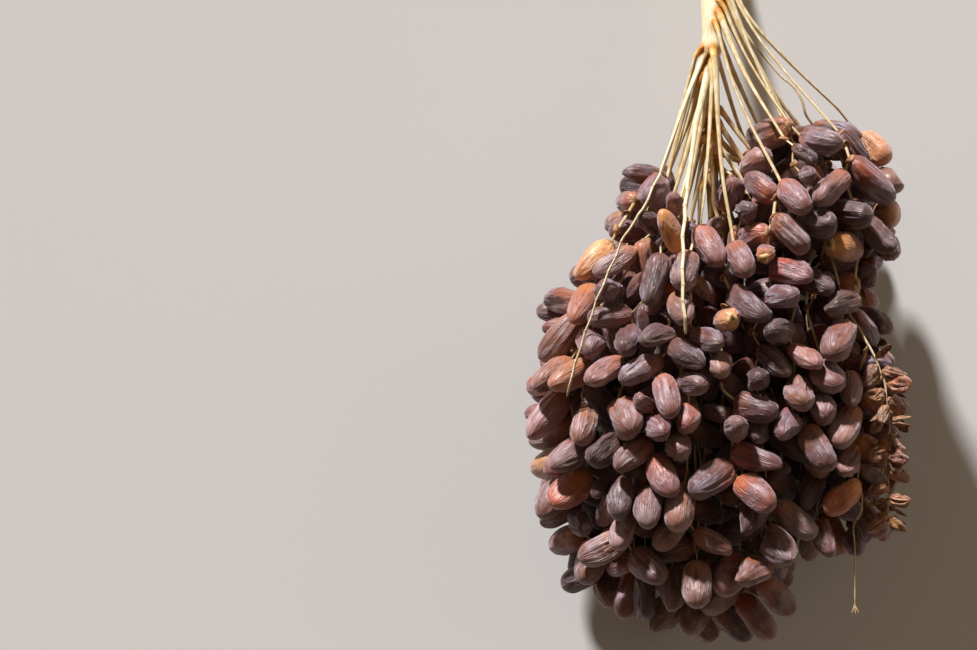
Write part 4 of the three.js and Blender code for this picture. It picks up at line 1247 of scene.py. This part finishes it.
random = np.random.default_rng(strandSeed)
strandLines, kneeLines, frontLines, stubLines = (defaultdict(list) for _ in range(4))
kneeRuns, kneeHalves = np.array(kneeLook["halves"]).T
for s, strand in enumerate(strands):
    nodes = [points[n] for n in strand["ids"]]
    tips = {date["node"]: points[date["b"]] for date in dates if date["strand"] == s}
    out = wayOut(strand["angle"], strand["leaveY"])
    places, atNodes = strandPath(nodes, tips)
    places, atNodes = [nodes[0] - out * strandLook["insideStalk"], *places], np.array([0, *atNodes])
    turn = random.uniform(0, math.pi)
    twistPerMm = random.uniform(-strandLook["twistPerMm"], strandLook["twistPerMm"])
    runs = addStrand(strandLines, strandLook, places, atNodes, turn, twistPerMm)
    kneePlaces = np.stack([np.interp(kneeRuns, runs, np.array(places)[:, axis]) for axis in range(3)], 1)
    kneeShare = np.clip(kneeLook["ochreFrom"] - kneeRuns / kneeLook["ochreMm"], 0, 1)
    addLine(kneeLines, kneePlaces, kneeHalves, kneeShare, turn + kneeRuns * twistPerMm)
    if strand["name"] == "bare_tipped_strand":  # its tip is split in three
        for spread in forkLook["spreads"]:
            way = units(units(nodes[-1] - nodes[-2]) + (spread, 0, 0.3 * spread))
            forked = [nodes[-1] + run * way - (0, drop, 0)
                      for run, drop in zip(forkLook["runs"], forkLook["drops"])]
            addLine(strandLines, forked, forkLook["halves"], forkLook["ochre"], [0] * len(forked))
for strand in frontStrands:
    addStrand(frontLines, frontLook, strand["places"], strand["atNode"], strand["turn"],
              frontLook["twistPerMm"], strand.get("thin", 1))
layLines("strands_over_the_dates", frontLines, frontLook, frontStraw, ["shrivelled_strand", "stalk"])
strandsPiece = layLines("strands", strandLines, strandLook, strandStraw, strandNames)
layLines("strand_knees", kneeLines, kneeLook, kneeOchre, strandNames)
print("laid the strands:", len(strandsPiece.data.polygons), "faces")

# The stalk, with fibres along it, a raised pad under each strand's root, and stubs of strands that broke off.

stalkLook = {"sides": 56, "stepMm": 2.0, "fibreMm": 0.22, "padMm": 1.3, "padWide": 4.5, "stainWide": 6.5,
             "rootStain": 0.75, "lowStain": 0.7, "lowFrom": -8, "lowOver": 30, "evenEnd": 4, "seed": 3}
stubLook = {"flatness": 0.8, "sides": 12, "stepMm": 1.2, "halves": [3.2, 3.5, 3.3, 2.2],
            "along": [0, 0.35, 0.7, 1], "ochre": [0.9, 0.7, 0.25, 0.8], "droop": 0.55, "insideMm": 1.5}
stubs = [  # level on the stalk, turn round it, and length
    (-70, 2.5, 9), (-62, 0.75, 8), (-52, 1.9, 6), (-82, 1.3, 7), (-30, 1.5, 5), (-96, 2.0, 6),
]


def makeStalkMesh():
    random = np.random.default_rng(stalkLook["seed"])
    lowest = stalkShape["outline"][0][0]
    levels = np.linspace(lowest, stalkTop, int((stalkTop - lowest) / stalkLook["stepMm"]) + 1)
    angles = np.linspace(0, math.tau, stalkLook["sides"], endpoint=False)
    along = ((levels - lowest) / (stalkTop - lowest))[:, None]
    fibres = stalkLook["fibreMm"] * sum(waves(random, angles[None, :], along, rounds, drift)
                                        for rounds, drift in ((range(9, 18), 0.6), (range(2, 5), 1.5)))
    rows, ochre = [], []
    for y, push in zip(levels, fibres):
        up, middle = stalkUp(y), stalkMiddle(y)
        wide, thick = outlineAt(y, 1), outlineAt(y, 2)
        row = middle + np.outer(np.cos(angles) * wide, [1, 0, 0]) + np.outer(np.sin(angles) * thick, up)
        nearRoot = np.zeros(len(angles))
        for strand in strands:
            turn = (angles - strand["angle"] + math.pi) % math.tau - math.pi
            gap = np.sqrt((turn * wide) ** 2 + (y - strand["leaveY"]) ** 2)
            push = push + stalkLook["padMm"] * np.exp(-(gap / stalkLook["padWide"]) ** 2)
            nearRoot = np.maximum(nearRoot, np.exp(-(gap / stalkLook["stainWide"]) ** 2))
        rows.append(row + units(row - middle) * push[:, None] * min(1, (stalkTop - y) / stalkLook["evenEnd"]))
        lower = clamp((stalkLook["lowFrom"] - y) / stalkLook["lowOver"], 0, 1)
        ochre.append(np.maximum(nearRoot * stalkLook["rootStain"], stalkLook["lowStain"] * lower))
    places, faces = closedLoft(np.array(rows), stalkMiddle(lowest - 1), stalkMiddle(stalkTop))
    return makeMesh("stalk", placed(places), faces, {"ochre": ("FLOAT", np.r_[np.concatenate(ochre), 1, 0])})


for y, turn, long in stubs:
    out = wayOut(turn, y)
    root = stalkMiddle(y) + out * (outlineAt(y, 1) - stubLook["insideMm"])
    places = [root + out * share * long + (0, -stubLook["droop"] * long * share * share, 0)
              for share in stubLook["along"]]
    addLine(stubLines, places, stubLook["halves"], stubLook["ochre"], [turn] * len(places))
layLines("broken_strand_stubs", stubLines, stubLook, kneeOchre, ["stalk"])

stalkMesh = makeStalkMesh()
asPiece("bunch_stalk", stalkMesh, "stalk", ["stalk"], stalkStraw, cutGrain)
for face in stalkMesh.polygons:
    if len(face.vertices) == 3 and face.center.y > (stalkCut.y - 0.5) / 1000:  # the flat cut
        face.material_index = 1
        face.use_smooth = False
print("shaped the stalk")

# Floor, light and camera: a low sun over a matt floor, whose pale grey throws a little light back up.

camera = {"x": -178.8, "y": -220, "aboveMid": 2200, "viewWide": 781.6, "sensor": 36}
scene = bpy.context.scene
scene.view_settings.view_transform = "Standard"

floorMaterial = newMaterial("pale floor", {"Roughness": 0.8, "Base Color": linear("#d6d3cd")})[0]
floorMesh = makeMesh("floor", [(-6, -6, 0), (6, -6, 0), (6, 6, 0), (-6, 6, 0)], [(0, 1, 2, 3)])
asObject("floor", floorMesh, floorMaterial)

world = bpy.data.worlds.new("soft daylight")
world.use_nodes = True
background = world.node_tree.nodes["Background"].inputs
background["Color"].default_value, background["Strength"].default_value = linear("#f5dcc0"), 0.16
scene.world = world

lights = {  # a low sun, and a weak warm panel on the far side; places are in metres
    "sun": {"kind": "SUN", "at": (-1.44, 3.9, 1.62), "strength": 7.2, "colour": "#f8f9ff",
            "soft": ("angle", 0.09)},
    "fill": {"kind": "AREA", "at": (2.0, 0.7, 1.5), "strength": 6, "colour": "#f8e6d2",
             "soft": ("size", 1.6)},
}
lightAim = Vector((0, -0.05, 0.08))
for name, light in lights.items():
    lamp = bpy.data.lights.new(name, light["kind"])
    lamp.energy, lamp.color = light["strength"], linear(light["colour"])[:3]
    setattr(lamp, *light["soft"])
    lampObject = bpy.data.objects.new(name, lamp)
    lampObject.location = light["at"]
    lampObject.rotation_euler = (lightAim - Vector(light["at"])).to_track_quat("-Z", "Y").to_euler()
    scene.collection.objects.link(lampObject)

lens = bpy.data.cameras.new("camera")
lens.sensor_width = camera["sensor"]
lens.lens = camera["sensor"] * camera["aboveMid"] / camera["viewWide"]
cameraObject = bpy.data.objects.new("camera", lens)
cameraObject.location = placed((camera["x"], camera["y"], midHeight + camera["aboveMid"]))
scene.collection.objects.link(cameraObject)
scene.camera = cameraObject
